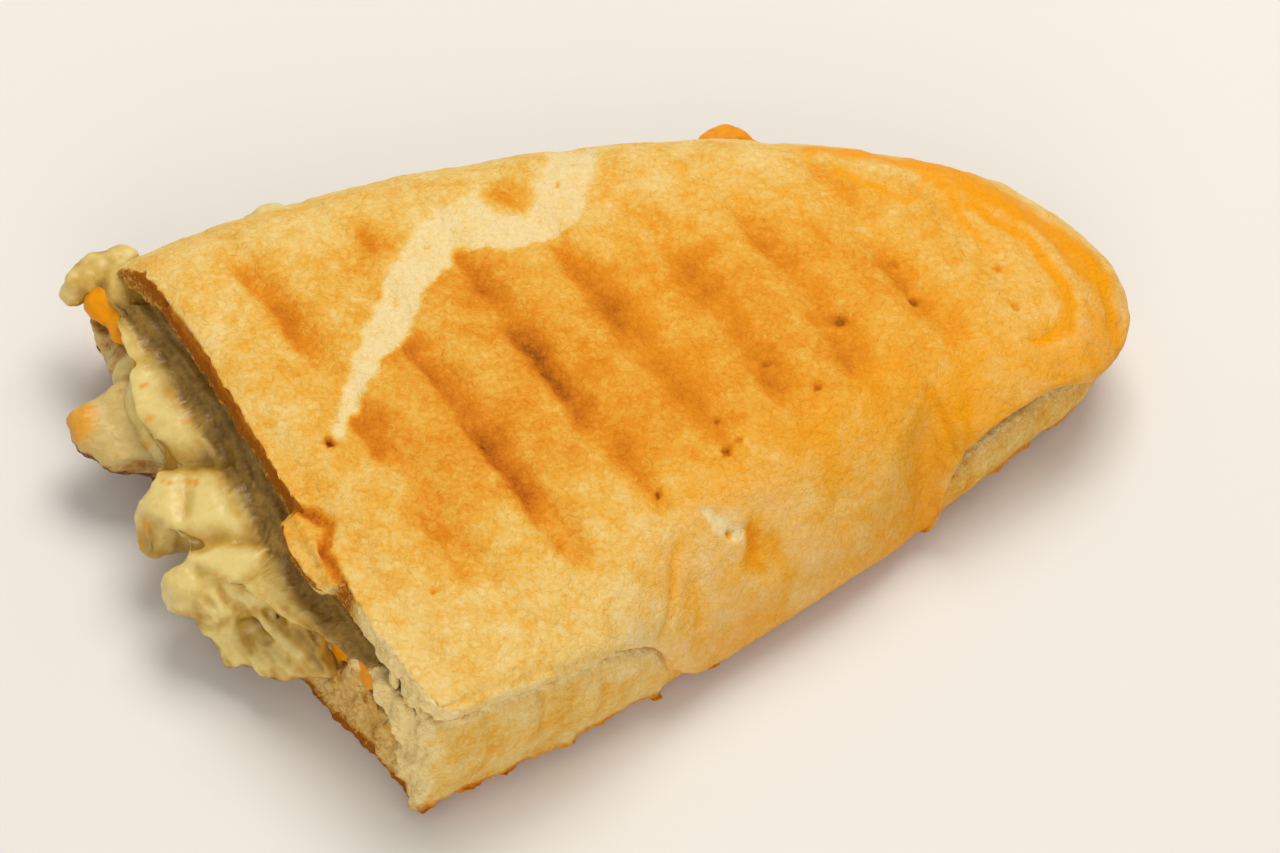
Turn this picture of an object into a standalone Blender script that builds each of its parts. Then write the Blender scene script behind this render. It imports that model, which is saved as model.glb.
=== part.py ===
"""Chicken toasted sandwich: one half of a filled, pressed and grilled long roll, lying flat.

+X runs from the cut face to the closed tip, +Y is the open side where the filling oozes out,
-Y is the folded side of the bread, and +Z is up. All lengths are in metres.
"""
import bpy
import numpy as np
from mathutils import Vector
from mathutils import noise

# Bread seen from above: four corners, and the handles of the smooth sides between them
BREAD_CUT_NEAR = (-0.0420, -0.0480)
BREAD_CUT_BACK = (-0.0645, 0.0450)
BREAD_TIP_NEAR = (0.0700, -0.0098)
BREAD_TIP_BACK = (0.0735, 0.0335)
LID_CUT_HANDLES = ((-0.0545, -0.0200), (-0.0525, 0.0130))
BASE_CUT_HANDLES = ((-0.0465, -0.0315), (-0.0690, 0.0020))
NEAR_HANDLES = ((-0.0080, -0.0410), (0.0360, -0.0245))
BACK_HANDLES = ((-0.0165, 0.0595), (0.0490, 0.0495))
TIP_HANDLES = ((0.0916, -0.0014), (0.0920, 0.0170))

# The base draws in under the lid near the tip
BASE_TIP_NEAR = (0.0690, -0.0065)
BASE_NEAR_HANDLES = ((-0.0080, -0.0410), (0.0360, -0.0240))
BASE_TIP_HANDLES = ((0.0885, 0.0010), (0.0905, 0.0170))

# Filling seen from above, before its lumps are pushed out
FILL_CUT_NEAR = (-0.0470, -0.0345)
FILL_CUT_BACK = (-0.0655, 0.0435)
FILL_TIP_NEAR = (0.0560, -0.0020)
FILL_TIP_BACK = (0.0600, 0.0310)
FILL_CUT_HANDLES = ((-0.0600, -0.0200), (-0.0670, 0.0050))
FILL_NEAR_HANDLES = ((-0.0120, -0.0265), (0.0240, -0.0145))
FILL_BACK_HANDLES = ((-0.0200, 0.0555), (0.0350, 0.0490))
FILL_TIP_HANDLES = ((0.0700, 0.0040), (0.0700, 0.0200))

# Heights and thicknesses
HEIGHT_CUT = 0.0300
HEIGHT_TIP = 0.0225
CROWN_DROP = 0.0015
CROWN_HALF_WIDTH = 0.050
FALL_START = 0.010
FALL_END = 0.085
LID_THICKNESS = 0.0055
BASE_THICKNESS = 0.0070
RIM_THICKNESS = 0.0044
CHICKEN_TOP = 0.0165
CHICKEN_ROOM = 0.0065
CHEDDAR_THICKNESS = 0.0016
GAP = 0.0004

# Seam along the folded side: its height at places along it, and where the crusts part near the tip
CREASE_PLACES = (-0.0420, -0.0140, 0.0080, 0.0380, 0.0580, 0.0660, 0.0820)
CREASE_HEIGHTS = (0.0235, 0.0205, 0.0060, 0.0060, 0.0165, 0.0165, 0.0125)
TIP_GAPE = 0.0026
GAPE_PLACES = (0.0480, 0.0580, 0.0800, 0.0880)
GAPE_BACK = 0.0140

# Roundness of the bread's edges, measured inwards from the outline
EDGE_SHARPNESS = 8
NEAR_ROUND = 0.0130
BACK_ROUND = 0.0100
BACK_FALL = 0.0060
BACK_FALL_TIP = 0.0070
BACK_FALL_PLACES = (0.030, 0.074)
UNDER_ROUND = 0.0060
UNDER_LIFT = 0.0030
WALL_INNER = 0.0105
WALL_FOOT = 0.0095
WALL_OUTER = 0.0045
CHEESE_ROUND = 0.0070
ROOF_DROOP = 0.0036
FLOOR_LIP = 0.0014
FILL_RIM_FALL = 0.0016

# Grill marks: shallow parallel troughs that lean with the cut
GRILL_PITCH = 0.0150
GRILL_WIDTH = 0.0075
GRILL_DEPTH = 0.0008
GRILL_LEAN = -0.27
GRILL_START = 0.0082
GRILL_TOP_EDGE = (0.002, 0.012)
GRILL_FOOT_EDGE = (0.004, 0.012)

# Lumps pushed out of the cut face: across, height, reach, half width, half height
WHITE_LUMPS = (
    (0.0450, 0.0190, 0.0055, 0.0065, 0.0050),
    (0.0245, 0.0175, 0.0035, 0.0090, 0.0060),
    (0.0040, 0.0150, 0.0060, 0.0075, 0.0060),
    (-0.0085, 0.0145, 0.0070, 0.0060, 0.0060),
    (-0.0205, 0.0170, 0.0025, 0.0050, 0.0050),
)
CHICKEN_LUMPS = (
    (0.0260, 0.0125, 0.0090, 0.0080, 0.0055),
    (0.0110, 0.0110, 0.0050, 0.0060, 0.0045),
    (-0.0030, 0.0105, 0.0040, 0.0060, 0.0040),
    (-0.0150, 0.0105, 0.0020, 0.0050, 0.0040),
)
CHEDDAR_LUMPS = (
    (0.0405, 0.0170, 0.0040, 0.0040, 0.0060),
    (-0.0290, 0.0160, 0.0030, 0.0045, 0.0060),
)

# Where the cheddar thickens, and where the chicken sits high or low: centre and amount
CHEDDAR_POOLS = (
    (-0.0600, 0.0405, 0.0100, 0.0035),
    (-0.0450, -0.0290, 0.0090, 0.0040),
    (0.0360, 0.0470, 0.0080, 0.0022),
)
CHICKEN_RISES = (
    (-0.0720, 0.0265, 0.0080, 0.0012),
    (-0.0680, 0.0020, 0.0160, -0.0050),
    (-0.0600, 0.0450, 0.0100, -0.0040),
    (-0.0420, -0.0290, 0.0090, -0.0040),
    (-0.0150, 0.0150, 0.0120, 0.0015),
    (0.0200, 0.0200, 0.0110, 0.0012),
)

# Cheese that has run out along the open side: along, reach, half length
WHITE_RUNS = ((-0.0370, 0.0035, 0.0060), (0.0270, 0.0022, 0.0080))
CHEDDAR_RUNS = ((0.0360, 0.0060, 0.0045),)

# Unevenness: how far it goes in or out, the size of its lumps and its random seed
CHICKEN_SWELL = (0.0006, 0.012, 3.0)
CUT_RAGGED = (0.0007, 0.006, 5.0)
FILL_LUMPY = (0.0008, 0.008, 7.0)
CRUST_BULGE = 0.0015
FILL_BULGE = 0.0012

# Fineness of the meshes: rows across and columns along each layer, and levels up its rim
CURVE_STEPS = 240
EDGE_CROWDING = 0.35
FILL_CROWDING = 1.6
BASE_GRID = (13, 46)
LID_GRID = (15, 52)
FILL_GRID = (15, 26)
BREAD_LEVELS = 3
FILL_LEVELS = 5
CHEDDAR_LEVELS = 2
SHARP_ANGLE = 0.9

# Colours as linear red, green and blue
BASE_COLOUR = (0.62, 0.38, 0.15)
LID_COLOUR = (0.75, 0.42, 0.13)
CHICKEN_COLOUR = (0.72, 0.52, 0.30)
CHEDDAR_COLOUR = (0.80, 0.34, 0.04)
WHITE_COLOUR = (0.78, 0.68, 0.42)


def bezier(start, handles, end, t):
    """Points along one smooth side, for every t from 0 at its start to 1 at its end."""
    t = np.asarray(t)[..., None]
    a, b, c, d = (np.array(p) for p in (start, handles[0], handles[1], end))
    return (1 - t) ** 3 * a + 3 * (1 - t) ** 2 * t * b + 3 * (1 - t) * t ** 2 * c + t ** 3 * d


def smooth(low, high, value):
    """0 below low, 1 above high, and an even S-curve between them."""
    t = np.clip((value - low) / (high - low), 0.0, 1.0)
    return t * t * (3 - 2 * t)


def edge_distance(x, y, line):
    """Shortest distance from each point to a line of points."""
    start = line[:-1]
    step = line[1:] - start
    px = x[..., None] - start[:, 0]
    py = y[..., None] - start[:, 1]
    along = (px * step[:, 0] + py * step[:, 1]) / (step ** 2).sum(axis=1)
    along = np.clip(along, 0.0, 1.0)
    gap_x = px - along * step[:, 0]
    gap_y = py - along * step[:, 1]
    return np.sqrt(gap_x ** 2 + gap_y ** 2).min(axis=-1)


def rough(x, y, z, amount, size, seed):
    """Even random swell in and out by about the amount, with lumps of the given size."""
    points = np.stack(np.broadcast_arrays(x, y, z), axis=-1).reshape(-1, 3)
    values = [noise.noise(Vector(p) / size + Vector((seed, 2.0 * seed, -seed))) for p in points]
    return amount * np.array(values).reshape(np.broadcast(x, y, z).shape)


STEPS = np.linspace(0.0, 1.0, CURVE_STEPS)
NEAR_LINE = bezier(BREAD_CUT_NEAR, NEAR_HANDLES, BREAD_TIP_NEAR, STEPS)
TIP_LINE = bezier(BREAD_TIP_NEAR, TIP_HANDLES, BREAD_TIP_BACK, STEPS)
BACK_LINE = bezier(BREAD_CUT_BACK, BACK_HANDLES, BREAD_TIP_BACK, STEPS)
CLOSED_LINE = np.concatenate([NEAR_LINE, TIP_LINE[1:]])
BASE_NEAR_LINE = bezier(BREAD_CUT_NEAR, BASE_NEAR_HANDLES, BASE_TIP_NEAR, STEPS)
BASE_TIP_LINE = bezier(BASE_TIP_NEAR, BASE_TIP_HANDLES, BREAD_TIP_BACK, STEPS)
BASE_CLOSED_LINE = np.concatenate([BASE_NEAR_LINE, BASE_TIP_LINE[1:]])


def blobs(x, y, places):
    """Sum of soft round swells: each has a centre, a radius and a height."""
    total = np.zeros_like(x)
    for centre_x, centre_y, radius, height in places:
        total += height * np.exp(-((x - centre_x) ** 2 + (y - centre_y) ** 2) / radius ** 2)
    return total


def grill(x, y):
    """Depth of the grill troughs, from 0 on the flat bands between them to 1 along their middle."""
    across = (x - GRILL_START - GRILL_LEAN * y) / GRILL_PITCH
    offset = np.abs(across - np.round(across)) * GRILL_PITCH
    return 1 - smooth(0.0, GRILL_WIDTH / 2, offset)


def crown(x, y):
    """Height of the pressed top before its edges round over."""
    fall = np.clip((x - FALL_START) / (FALL_END - FALL_START), 0.0, 1.0) ** 2
    return HEIGHT_CUT + (HEIGHT_TIP - HEIGHT_CUT) * fall - CROWN_DROP * (y / CROWN_HALF_WIDTH) ** 2


def crease(x):
    """Height of the seam along the folded side: high at the cut and the tip, low between them."""
    height = np.full_like(x, CREASE_HEIGHTS[0])
    for k in range(1, len(CREASE_PLACES)):
        climb = CREASE_HEIGHTS[k] - CREASE_HEIGHTS[k - 1]
        height += climb * smooth(CREASE_PLACES[k - 1], CREASE_PLACES[k], x)
    return height


def gape(x, y):
    """Opening of the seam where the two crusts have parted near the tip."""
    opens = smooth(*GAPE_PLACES[:2], x) * (1 - smooth(*GAPE_PLACES[2:], x))
    return TIP_GAPE * opens * (1 - smooth(0.0, GAPE_BACK, y))


def top_surface(x, y):
    closed = edge_distance(x, y, CLOSED_LINE)
    back = edge_distance(x, y, BACK_LINE)
    height = crown(x, y)
    near_fall = height - crease(x) - RIM_THICKNESS - gape(x, y) / 2
    near_fall = near_fall * np.clip(1 - closed / NEAR_ROUND, 0.0, 1.0) ** 2
    back_fall = BACK_FALL + (BACK_FALL_TIP - BACK_FALL) * smooth(*BACK_FALL_PLACES, x)
    back_fall = back_fall * np.clip(1 - back / BACK_ROUND, 0.0, 1.0) ** 2
    fall = (near_fall ** EDGE_SHARPNESS + back_fall ** EDGE_SHARPNESS) ** (1 / EDGE_SHARPNESS)
    inside = smooth(*GRILL_TOP_EDGE, np.minimum(closed, back))
    return height - fall - GRILL_DEPTH * grill(x, y) * inside


def roof(x, y):
    """Underside of the lid: high over the filling, down to the crease along the folded side."""
    closed = edge_distance(x, y, CLOSED_LINE)
    back = edge_distance(x, y, BACK_LINE)
    wall = 1 - smooth(WALL_OUTER, WALL_INNER, closed)
    droop = ROOF_DROOP * (1 - smooth(0.0, BACK_ROUND, back))
    high = crown(x, y) - LID_THICKNESS - droop
    return high * (1 - wall) + (crease(x) + gape(x, y) / 2 + GAP / 2) * wall


def floor(x, y):
    """Upper side of the base: flat under the filling, up to the crease along the folded side."""
    closed = edge_distance(x, y, CLOSED_LINE)
    wall = 1 - smooth(WALL_OUTER, WALL_FOOT, closed)
    lip = FLOOR_LIP * (1 - smooth(0.0, BACK_ROUND, edge_distance(x, y, BACK_LINE)))
    return (BASE_THICKNESS + lip) * (1 - wall) + (crease(x) - gape(x, y) / 2 - GAP / 2) * wall


def underside(x, y):
    """The base rests on the flat bands between its own grill troughs."""
    closed = edge_distance(x, y, BASE_CLOSED_LINE)
    back = edge_distance(x, y, BACK_LINE)
    edge = np.minimum(closed, back)
    lift = UNDER_LIFT * np.clip(1 - edge / UNDER_ROUND, 0.0, 1.0) ** 2
    return lift + GRILL_DEPTH * grill(x, y) * smooth(*GRILL_FOOT_EDGE, edge)


def chicken_low(x, y):
    return floor(x, y) + GAP


def chicken_top(x, y):
    wanted = CHICKEN_TOP + rough(x, y, 0.0, *CHICKEN_SWELL) + blobs(x, y, CHICKEN_RISES)
    return np.minimum(wanted, roof(x, y) - CHICKEN_ROOM)


def cheddar_low(x, y):
    return chicken_top(x, y) + GAP


def cheddar_top(x, y):
    return chicken_top(x, y) + GAP + CHEDDAR_THICKNESS + blobs(x, y, CHEDDAR_POOLS)


def white_low(x, y):
    return cheddar_top(x, y) + GAP


def white_top(x, y):
    """The top cheese fills the room under the lid and rounds down towards its own rim."""
    back = smooth(0.0, BACK_ROUND, edge_distance(x, y, BACK_LINE))
    closed = smooth(WALL_INNER, WALL_INNER + CHEESE_ROUND, edge_distance(x, y, CLOSED_LINE))
    return roof(x, y) - GAP - FILL_RIM_FALL * (1 - back * closed)


def plan_grid(corners, handles, across, along):
    """Points over a four-sided plan: along from the cut to the tip, across from near to back."""
    cut_near, cut_back, tip_near, tip_back = (np.array(p) for p in corners)
    cut = bezier(cut_near, handles["cut"], cut_back, across)
    tip = bezier(tip_near, handles["tip"], tip_back, across)
    near = bezier(cut_near, handles["near"], tip_near, along)
    back = bezier(cut_back, handles["back"], tip_back, along)
    u = along[:, None, None]
    v = across[None, :, None]
    blend = (1 - v) * near[:, None] + v * back[:, None] + (1 - u) * cut[None] + u * tip[None]
    flat = (1 - u) * (1 - v) * cut_near + (1 - u) * v * cut_back + u * (1 - v) * tip_near
    return blend - flat - u * v * tip_back


def rim_loop(columns, rows):
    """Grid places round the rim, anticlockwise from the near corner of the cut."""
    loop = [(i, 0) for i in range(columns - 1)]
    loop += [(columns - 1, j) for j in range(rows - 1)]
    loop += [(i, rows - 1) for i in range(columns - 1, 0, -1)]
    loop += [(0, j) for j in range(rows - 1, 0, -1)]
    return loop


def outward(points):
    """Unit directions that point out of a closed, anticlockwise loop in plan."""
    tangent = np.roll(points, -1, axis=0) - np.roll(points, 1, axis=0)
    normal = np.stack([tangent[:, 1], -tangent[:, 0]], axis=1)
    return normal / np.linalg.norm(normal, axis=1)[:, None]


def layer(name, plan, low, high, levels, push, material):
    """One closed food layer between two surfaces, with its rim shaped by push at each level."""
    columns, rows = plan.shape[:2]
    x, y = plan[..., 0], plan[..., 1]
    bottom = np.stack([x, y, low(x, y)], axis=-1)
    top = np.stack([x, y, high(x, y)], axis=-1)
    loop = rim_loop(columns, rows)
    loop_i = np.array([place[0] for place in loop])
    loop_j = np.array([place[1] for place in loop])
    out = outward(plan[loop_i, loop_j])
    vertices = [bottom.reshape(-1, 3), top.reshape(-1, 3)]
    rings = [loop_i * rows + loop_j]
    for level in range(1, levels):
        share = level / levels
        ring = bottom[loop_i, loop_j] * (1 - share) + top[loop_i, loop_j] * share
        ring[:, :2] += out * push(ring, loop_i / (columns - 1), loop_j / (rows - 1), share)[:, None]
        rings.append(sum(len(part) for part in vertices) + np.arange(len(loop)))
        vertices.append(ring)
    rings.append(columns * rows + loop_i * rows + loop_j)
    faces = []
    for i in range(columns - 1):
        for j in range(rows - 1):
            a = i * rows + j
            b = a + rows
            faces += [(a, a + 1, b), (b, a + 1, b + 1)]
            a += columns * rows
            b += columns * rows
            faces += [(a, b, a + 1), (b, b + 1, a + 1)]
    for lower, upper in zip(rings[:-1], rings[1:]):
        for k in range(len(loop)):
            n = (k + 1) % len(loop)
            faces += [(lower[k], lower[n], upper[k]), (lower[n], upper[n], upper[k])]
    mesh = bpy.data.meshes.new(name)
    faces = [tuple(int(corner) for corner in face) for face in faces]
    mesh.from_pydata(np.concatenate(vertices).tolist(), [], faces)
    mesh.materials.append(material)
    mesh.shade_smooth()
    mesh.set_sharp_from_angle(angle=SHARP_ANGLE)
    thing = bpy.data.objects.new(name, mesh)
    bpy.context.collection.objects.link(thing)
    return thing


def bread_push(ring, u, v, share):
    """Crust bulges a little between its edges; the cut face is only slightly ragged."""
    crust = CRUST_BULGE * np.sin(np.pi * share)
    ragged = rough(ring[:, 0], ring[:, 1], ring[:, 2], *CUT_RAGGED)
    return np.where(u > 0, crust, ragged)


def lump_push(lumps, runs):
    """Rim of a filling layer: lumps out of the cut face, and runs along the open side."""
    def push(ring, u, v, share):
        bulge = np.sin(np.pi * share)
        sheltered = (v == 0) & (u > 0)
        amount = np.where(sheltered, 0.0, FILL_BULGE) * bulge
        at_cut = u == 0
        for across, height, reach, half_width, half_height in lumps:
            near = ((ring[:, 1] - across) / half_width) ** 2 + ((ring[:, 2] - height) / half_height) ** 2
            amount += np.where(at_cut, reach * np.exp(-near), 0.0)
        at_back = (v == 1) & (u > 0)
        for along, reach, half_length in runs:
            near = ((ring[:, 0] - along) / half_length) ** 2
            amount += np.where(at_back, reach * np.exp(-near) * bulge, 0.0)
        lumpy = rough(ring[:, 0], ring[:, 1], ring[:, 2], *FILL_LUMPY)
        return amount + np.where(sheltered, 0.0, lumpy) * bulge
    return push


def food_material(name, colour, roughness):
    material = bpy.data.materials.new(name)
    material.use_nodes = True
    surface = material.node_tree.nodes["Principled BSDF"]
    surface.inputs["Base Color"].default_value = (*colour, 1.0)
    surface.inputs["Roughness"].default_value = roughness
    surface.inputs["Metallic"].default_value = 0.0
    return material


def bread_plan(rows, columns, tip_near, cut, near, tip):
    corners = (BREAD_CUT_NEAR, BREAD_CUT_BACK, tip_near, BREAD_TIP_BACK)
    handles = {"cut": cut, "near": near, "back": BACK_HANDLES, "tip": tip}
    return plan_grid(corners, handles, eased(rows), np.linspace(0.0, 1.0, columns))


def fill_plan(rows, columns):
    corners = (FILL_CUT_NEAR, FILL_CUT_BACK, FILL_TIP_NEAR, FILL_TIP_BACK)
    handles = {"cut": FILL_CUT_HANDLES, "near": FILL_NEAR_HANDLES}
    handles["back"] = FILL_BACK_HANDLES
    handles["tip"] = FILL_TIP_HANDLES
    along = np.linspace(0.0, 1.0, columns) ** FILL_CROWDING
    return plan_grid(corners, handles, np.linspace(0.0, 1.0, rows), along)


def eased(count):
    """Steps from 0 to 1 that crowd towards both ends, where the bread rounds over."""
    t = np.linspace(0.0, 1.0, count)
    return t - EDGE_CROWDING * np.sin(2 * np.pi * t) / np.pi


def build_base():
    material = food_material("toasted_base", BASE_COLOUR, 0.75)
    plan = bread_plan(*BASE_GRID, BASE_TIP_NEAR, BASE_CUT_HANDLES, BASE_NEAR_HANDLES, BASE_TIP_HANDLES)
    return layer("bread_bottom", plan, underside, floor, BREAD_LEVELS, bread_push, material)


def build_lid():
    material = food_material("toasted_lid", LID_COLOUR, 0.70)
    plan = bread_plan(*LID_GRID, BREAD_TIP_NEAR, LID_CUT_HANDLES, NEAR_HANDLES, TIP_HANDLES)
    return layer("bread_top", plan, roof, top_surface, BREAD_LEVELS, bread_push, material)


def build_chicken():
    material = food_material("cooked_chicken", CHICKEN_COLOUR, 0.55)
    push = lump_push(CHICKEN_LUMPS, ())
    return layer("chicken", fill_plan(*FILL_GRID), chicken_low, chicken_top, FILL_LEVELS, push, material)


def build_cheddar():
    material = food_material("melted_cheddar", CHEDDAR_COLOUR, 0.40)
    push = lump_push(CHEDDAR_LUMPS, CHEDDAR_RUNS)
    return layer("cheddar", fill_plan(*FILL_GRID), cheddar_low, cheddar_top, CHEDDAR_LEVELS, push, material)


def build_white_cheese():
    material = food_material("melted_white_cheese", WHITE_COLOUR, 0.35)
    push = lump_push(WHITE_LUMPS, WHITE_RUNS)
    return layer("white_cheese", fill_plan(*FILL_GRID), white_low, white_top, FILL_LEVELS, push, material)


def centre_on_origin(things):
    """Move every mesh so that the middle of the whole footprint stands on the origin."""
    corners = np.array([vertex.co for thing in things for vertex in thing.data.vertices])
    low = corners.min(axis=0)
    high = corners.max(axis=0)
    shift = Vector((-(low[0] + high[0]) / 2, -(low[1] + high[1]) / 2, -low[2]))
    for thing in things:
        for vertex in thing.data.vertices:
            vertex.co += shift


def build_sandwich():
    for old in list(bpy.data.objects):
        bpy.data.objects.remove(old, do_unlink=True)
    things = [build_base(), build_chicken(), build_cheddar(), build_white_cheese(), build_lid()]
    centre_on_origin(things)


build_sandwich()
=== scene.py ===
"""Looks of the chicken toasted sandwich: one half of a filled, pressed and grilled long roll.

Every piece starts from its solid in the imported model, is given an even fine mesh, and then gets
its relief and its browning. Plan places are millimetres from the drawing's zero, which lies under
the middle of the lid: +X runs to the closed tip, +Y to the open side, +Z up.
"""

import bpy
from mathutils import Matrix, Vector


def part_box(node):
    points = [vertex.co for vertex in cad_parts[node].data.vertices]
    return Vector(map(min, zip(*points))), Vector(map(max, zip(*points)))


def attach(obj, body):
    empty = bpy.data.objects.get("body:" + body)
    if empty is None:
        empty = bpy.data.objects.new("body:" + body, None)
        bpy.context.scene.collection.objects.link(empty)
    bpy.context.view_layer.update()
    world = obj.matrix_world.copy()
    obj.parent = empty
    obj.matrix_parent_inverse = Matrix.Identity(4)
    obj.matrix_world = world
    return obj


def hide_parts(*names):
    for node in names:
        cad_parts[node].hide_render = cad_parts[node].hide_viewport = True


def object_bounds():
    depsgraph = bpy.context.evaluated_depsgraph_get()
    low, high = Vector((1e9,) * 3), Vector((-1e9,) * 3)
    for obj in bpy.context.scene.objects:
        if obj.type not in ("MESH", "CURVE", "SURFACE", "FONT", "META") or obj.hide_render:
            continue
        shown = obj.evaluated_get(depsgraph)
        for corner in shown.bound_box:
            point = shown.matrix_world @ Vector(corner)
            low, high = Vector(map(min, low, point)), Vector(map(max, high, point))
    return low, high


bl_info = {
    "name": "Chicken Toasted Sandwich",
    "version": (1, 0, 0),
    "blender": (4, 5, 0),
    "location": "View3D > Sidebar > Sandwich",
    "description": "Builds one half of a pressed sandwich with chicken and melted cheese",
    "category": "Add Mesh",
}

import math
import random

import bmesh
import bpy
import numpy as np
from bpy.props import FloatProperty, FloatVectorProperty, PointerProperty
from mathutils import Matrix, Vector, noise
from mathutils.bvhtree import BVHTree
from mathutils.kdtree import KDTree

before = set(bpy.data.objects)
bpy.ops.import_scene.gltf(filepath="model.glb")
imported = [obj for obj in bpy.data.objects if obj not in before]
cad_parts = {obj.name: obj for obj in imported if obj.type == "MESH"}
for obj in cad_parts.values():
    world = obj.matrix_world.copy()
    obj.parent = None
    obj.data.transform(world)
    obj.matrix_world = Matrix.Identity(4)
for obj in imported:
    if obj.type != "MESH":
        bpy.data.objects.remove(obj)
CAD_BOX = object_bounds()

MM = 0.001

# The drawing's zero, found from how far the lid's tip and back edge reach from it
LID_TIP_REACH = 88.084
LID_BACK_REACH = 53.318
LID_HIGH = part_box("bread_top")[1]
ZERO = np.array([LID_HIGH.x - LID_TIP_REACH * MM, LID_HIGH.y - LID_BACK_REACH * MM, 0.0])

# The cut looks this way in plan, and the grill troughs lean with it
CUT_OUT = np.array([-0.97, -0.25, 0.0])
CUT_NEAREST = -40.0
GRILL_LEAN = -0.27
GRILL_PITCH = 15.0
GRILL_START = 8.2

# A browned trough is full this far from its middle in mm, and has faded out at the second distance
TROUGH_FULL, TROUGH_GONE = 0.5, 3.6
# Share of the way to the middle of its neighbours that a vertex moves in one step of relaxing
RELAX_SHARE = 0.5
# Steps of relaxing that round the lid's shoulder over the folded side
SHOULDER_STEPS = 200
# A wall is where a mesh faces up or down by less than this
WALL_TILT = 0.35
# What lies nearer than this y belongs to the folded side
FOLDED_SIDE = 5.0

# Browned strokes along the lid's grill troughs: x, y, half length, half width, strength
LID_MARKS = (
    (-44, 28, 12, 3, 0.8), (-37, 0, 5, 3, 0.7), (-32, -22, 7, 3.5, 0.6), (-27, 37, 5, 3.5, 0.7),
    (-25, 10, 8, 2.6, 0.7), (-20, -10, 13, 2.4, 1), (-15, -25, 5, 3, 0.5), (-13, 25, 7, 2.6, 0.7),
    (-8, 5, 12, 2.4, 0.95), (-1, -16, 9, 2.4, 0.45), (2, 24, 6, 2.8, 0.7), (5, 14, 6, 3, 0.6),
    (11, -4, 9, 2.6, 0.5), (19, 18, 6, 3.2, 0.6), (24, 0, 9, 2.6, 0.45), (32, 22, 8, 3, 0.45),
    (36, 0, 8, 3, 0.5), (38, 5, 2, 2, 0.6), (46, 32, 6, 2, 0.55), (50, 12, 5, 2, 0.6), (54, 2, 6, 3, 0.4),
    (14.4, -27.2, 2.6, 2, 0.95), (18.5, -28.5, 2.4, 1.6, 0.45),
)
# The unbrowned crack: points along its middle, each with its half width, and a browned island
PALE_SPINE = (
    (-43, 0.5, 0.6), (-38, 9, 1.7), (-29.5, 19.5, 3), (-22.5, 29, 3.6), (-15, 35.5, 4.4), (-6, 35.5, 6.6),
    (2, 36, 5), (6, 41, 3.8), (9, 47, 3.6),
)
PALE_LOWER_EDGE = 28.7
ISLAND = (-4.2, 40.2, 4.3)
# Burst bubbles in the crust: x, y, radius, depth
PINHOLES = (
    (-44, 0.5, 0.9, 0.9), (0.5, -20, 0.6, 0.8), (13, -15, 0.8, 0.8), (13, -9.5, 0.5, 0.6),
    (15, -14, 0.5, 0.6), (10.2, -26.4, 0.5, 0.7), (30, -7, 0.6, 0.7), (24, -0.5, 0.5, 0.5),
    (50, 14, 0.6, 0.4), (50.5, 6.5, 0.9, 0.6), (38, 5, 0.9, 0.5), (66, 11, 0.7, 0.4), (66, 3, 0.6, 0.4),
    (-7, 32, 0.4, 0.5), (4, 40, 0.4, 0.6), (8, 44, 0.4, 0.5), (-27, 24, 0.4, 0.4), (-19, 33, 0.4, 0.4),
    (-1, 34, 0.4, 0.4), (-37, -29, 0.6, 0.4),
)
# Cheese grease that has soaked the crust: points along it, each with its half width
GREASE_SPINE = (
    (44, 40, 1.5), (54, 38, 2.2), (63, 33.5, 3.6), (68, 29, 4.2), (74, 22.5, 4), (79.5, 15, 3.6),
    (82.5, 8, 3), (83, 1, 2.4), (81, -4, 1.6),
)
GREASE_STREAK = (
    (47, 33, 1), (50, 30, 1.2), (53, 28.5, 1.5), (56, 25, 0.9), (59.5, 29, 0.5), (62.3, 31.4, 2),
    (63.4, 26, 1.6), (64, 20, 1.2), (66.5, 15.5, 0.8),
)
GREASE_RING = (
    (66.5, 23.8, 1.2), (70.1, 19.4, 1), (73, 14, 1), (74.4, 8.5, 1.2), (75, 2.6, 1.4), (73.4, -1.2, 1.3),
    (70, -3, 1), (67, -3.4, 0.6),
)
# Pale strokes where the skin has torn off, below the middle of the lid
TORN_STROKES = ((6.4, -22.8, 0.5), (8.4, -25.4, 1.3), (11, -26.2, 1), (12.4, -27.6, 0.3))

# A leaf of crust that has come loose at the cut: its lumps, then its middle with half widths, and the
# crack behind it, given by points, depth and half width
LEAF_LUMPS = (
    (-52.6, -12.8, 27.6, 2.6, 3.4, 1.3), (-52.5, -16.6, 27.2, 2.4, 3.6, 1.2),
    (-51.8, -20.6, 26.8, 2, 3.4, 1.1),
)
LEAF_SPINE = (
    (-53.4, -10.6, 0.8), (-51.6, -13, 2.9), (-51.7, -16, 2.6), (-51.6, -19, 1.9), (-50.6, -22.8, 1.1),
)
LEAF_CRACK = (
    (((-53.8, -9.2), (-51.5, -9.4), (-49.5, -10.6), (-47.9, -13.4), (-48.8, -15.7), (-49.7, -17.7),
      (-49.5, -21.1), (-49.3, -24.3)), 1, 0.6),
)
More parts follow.
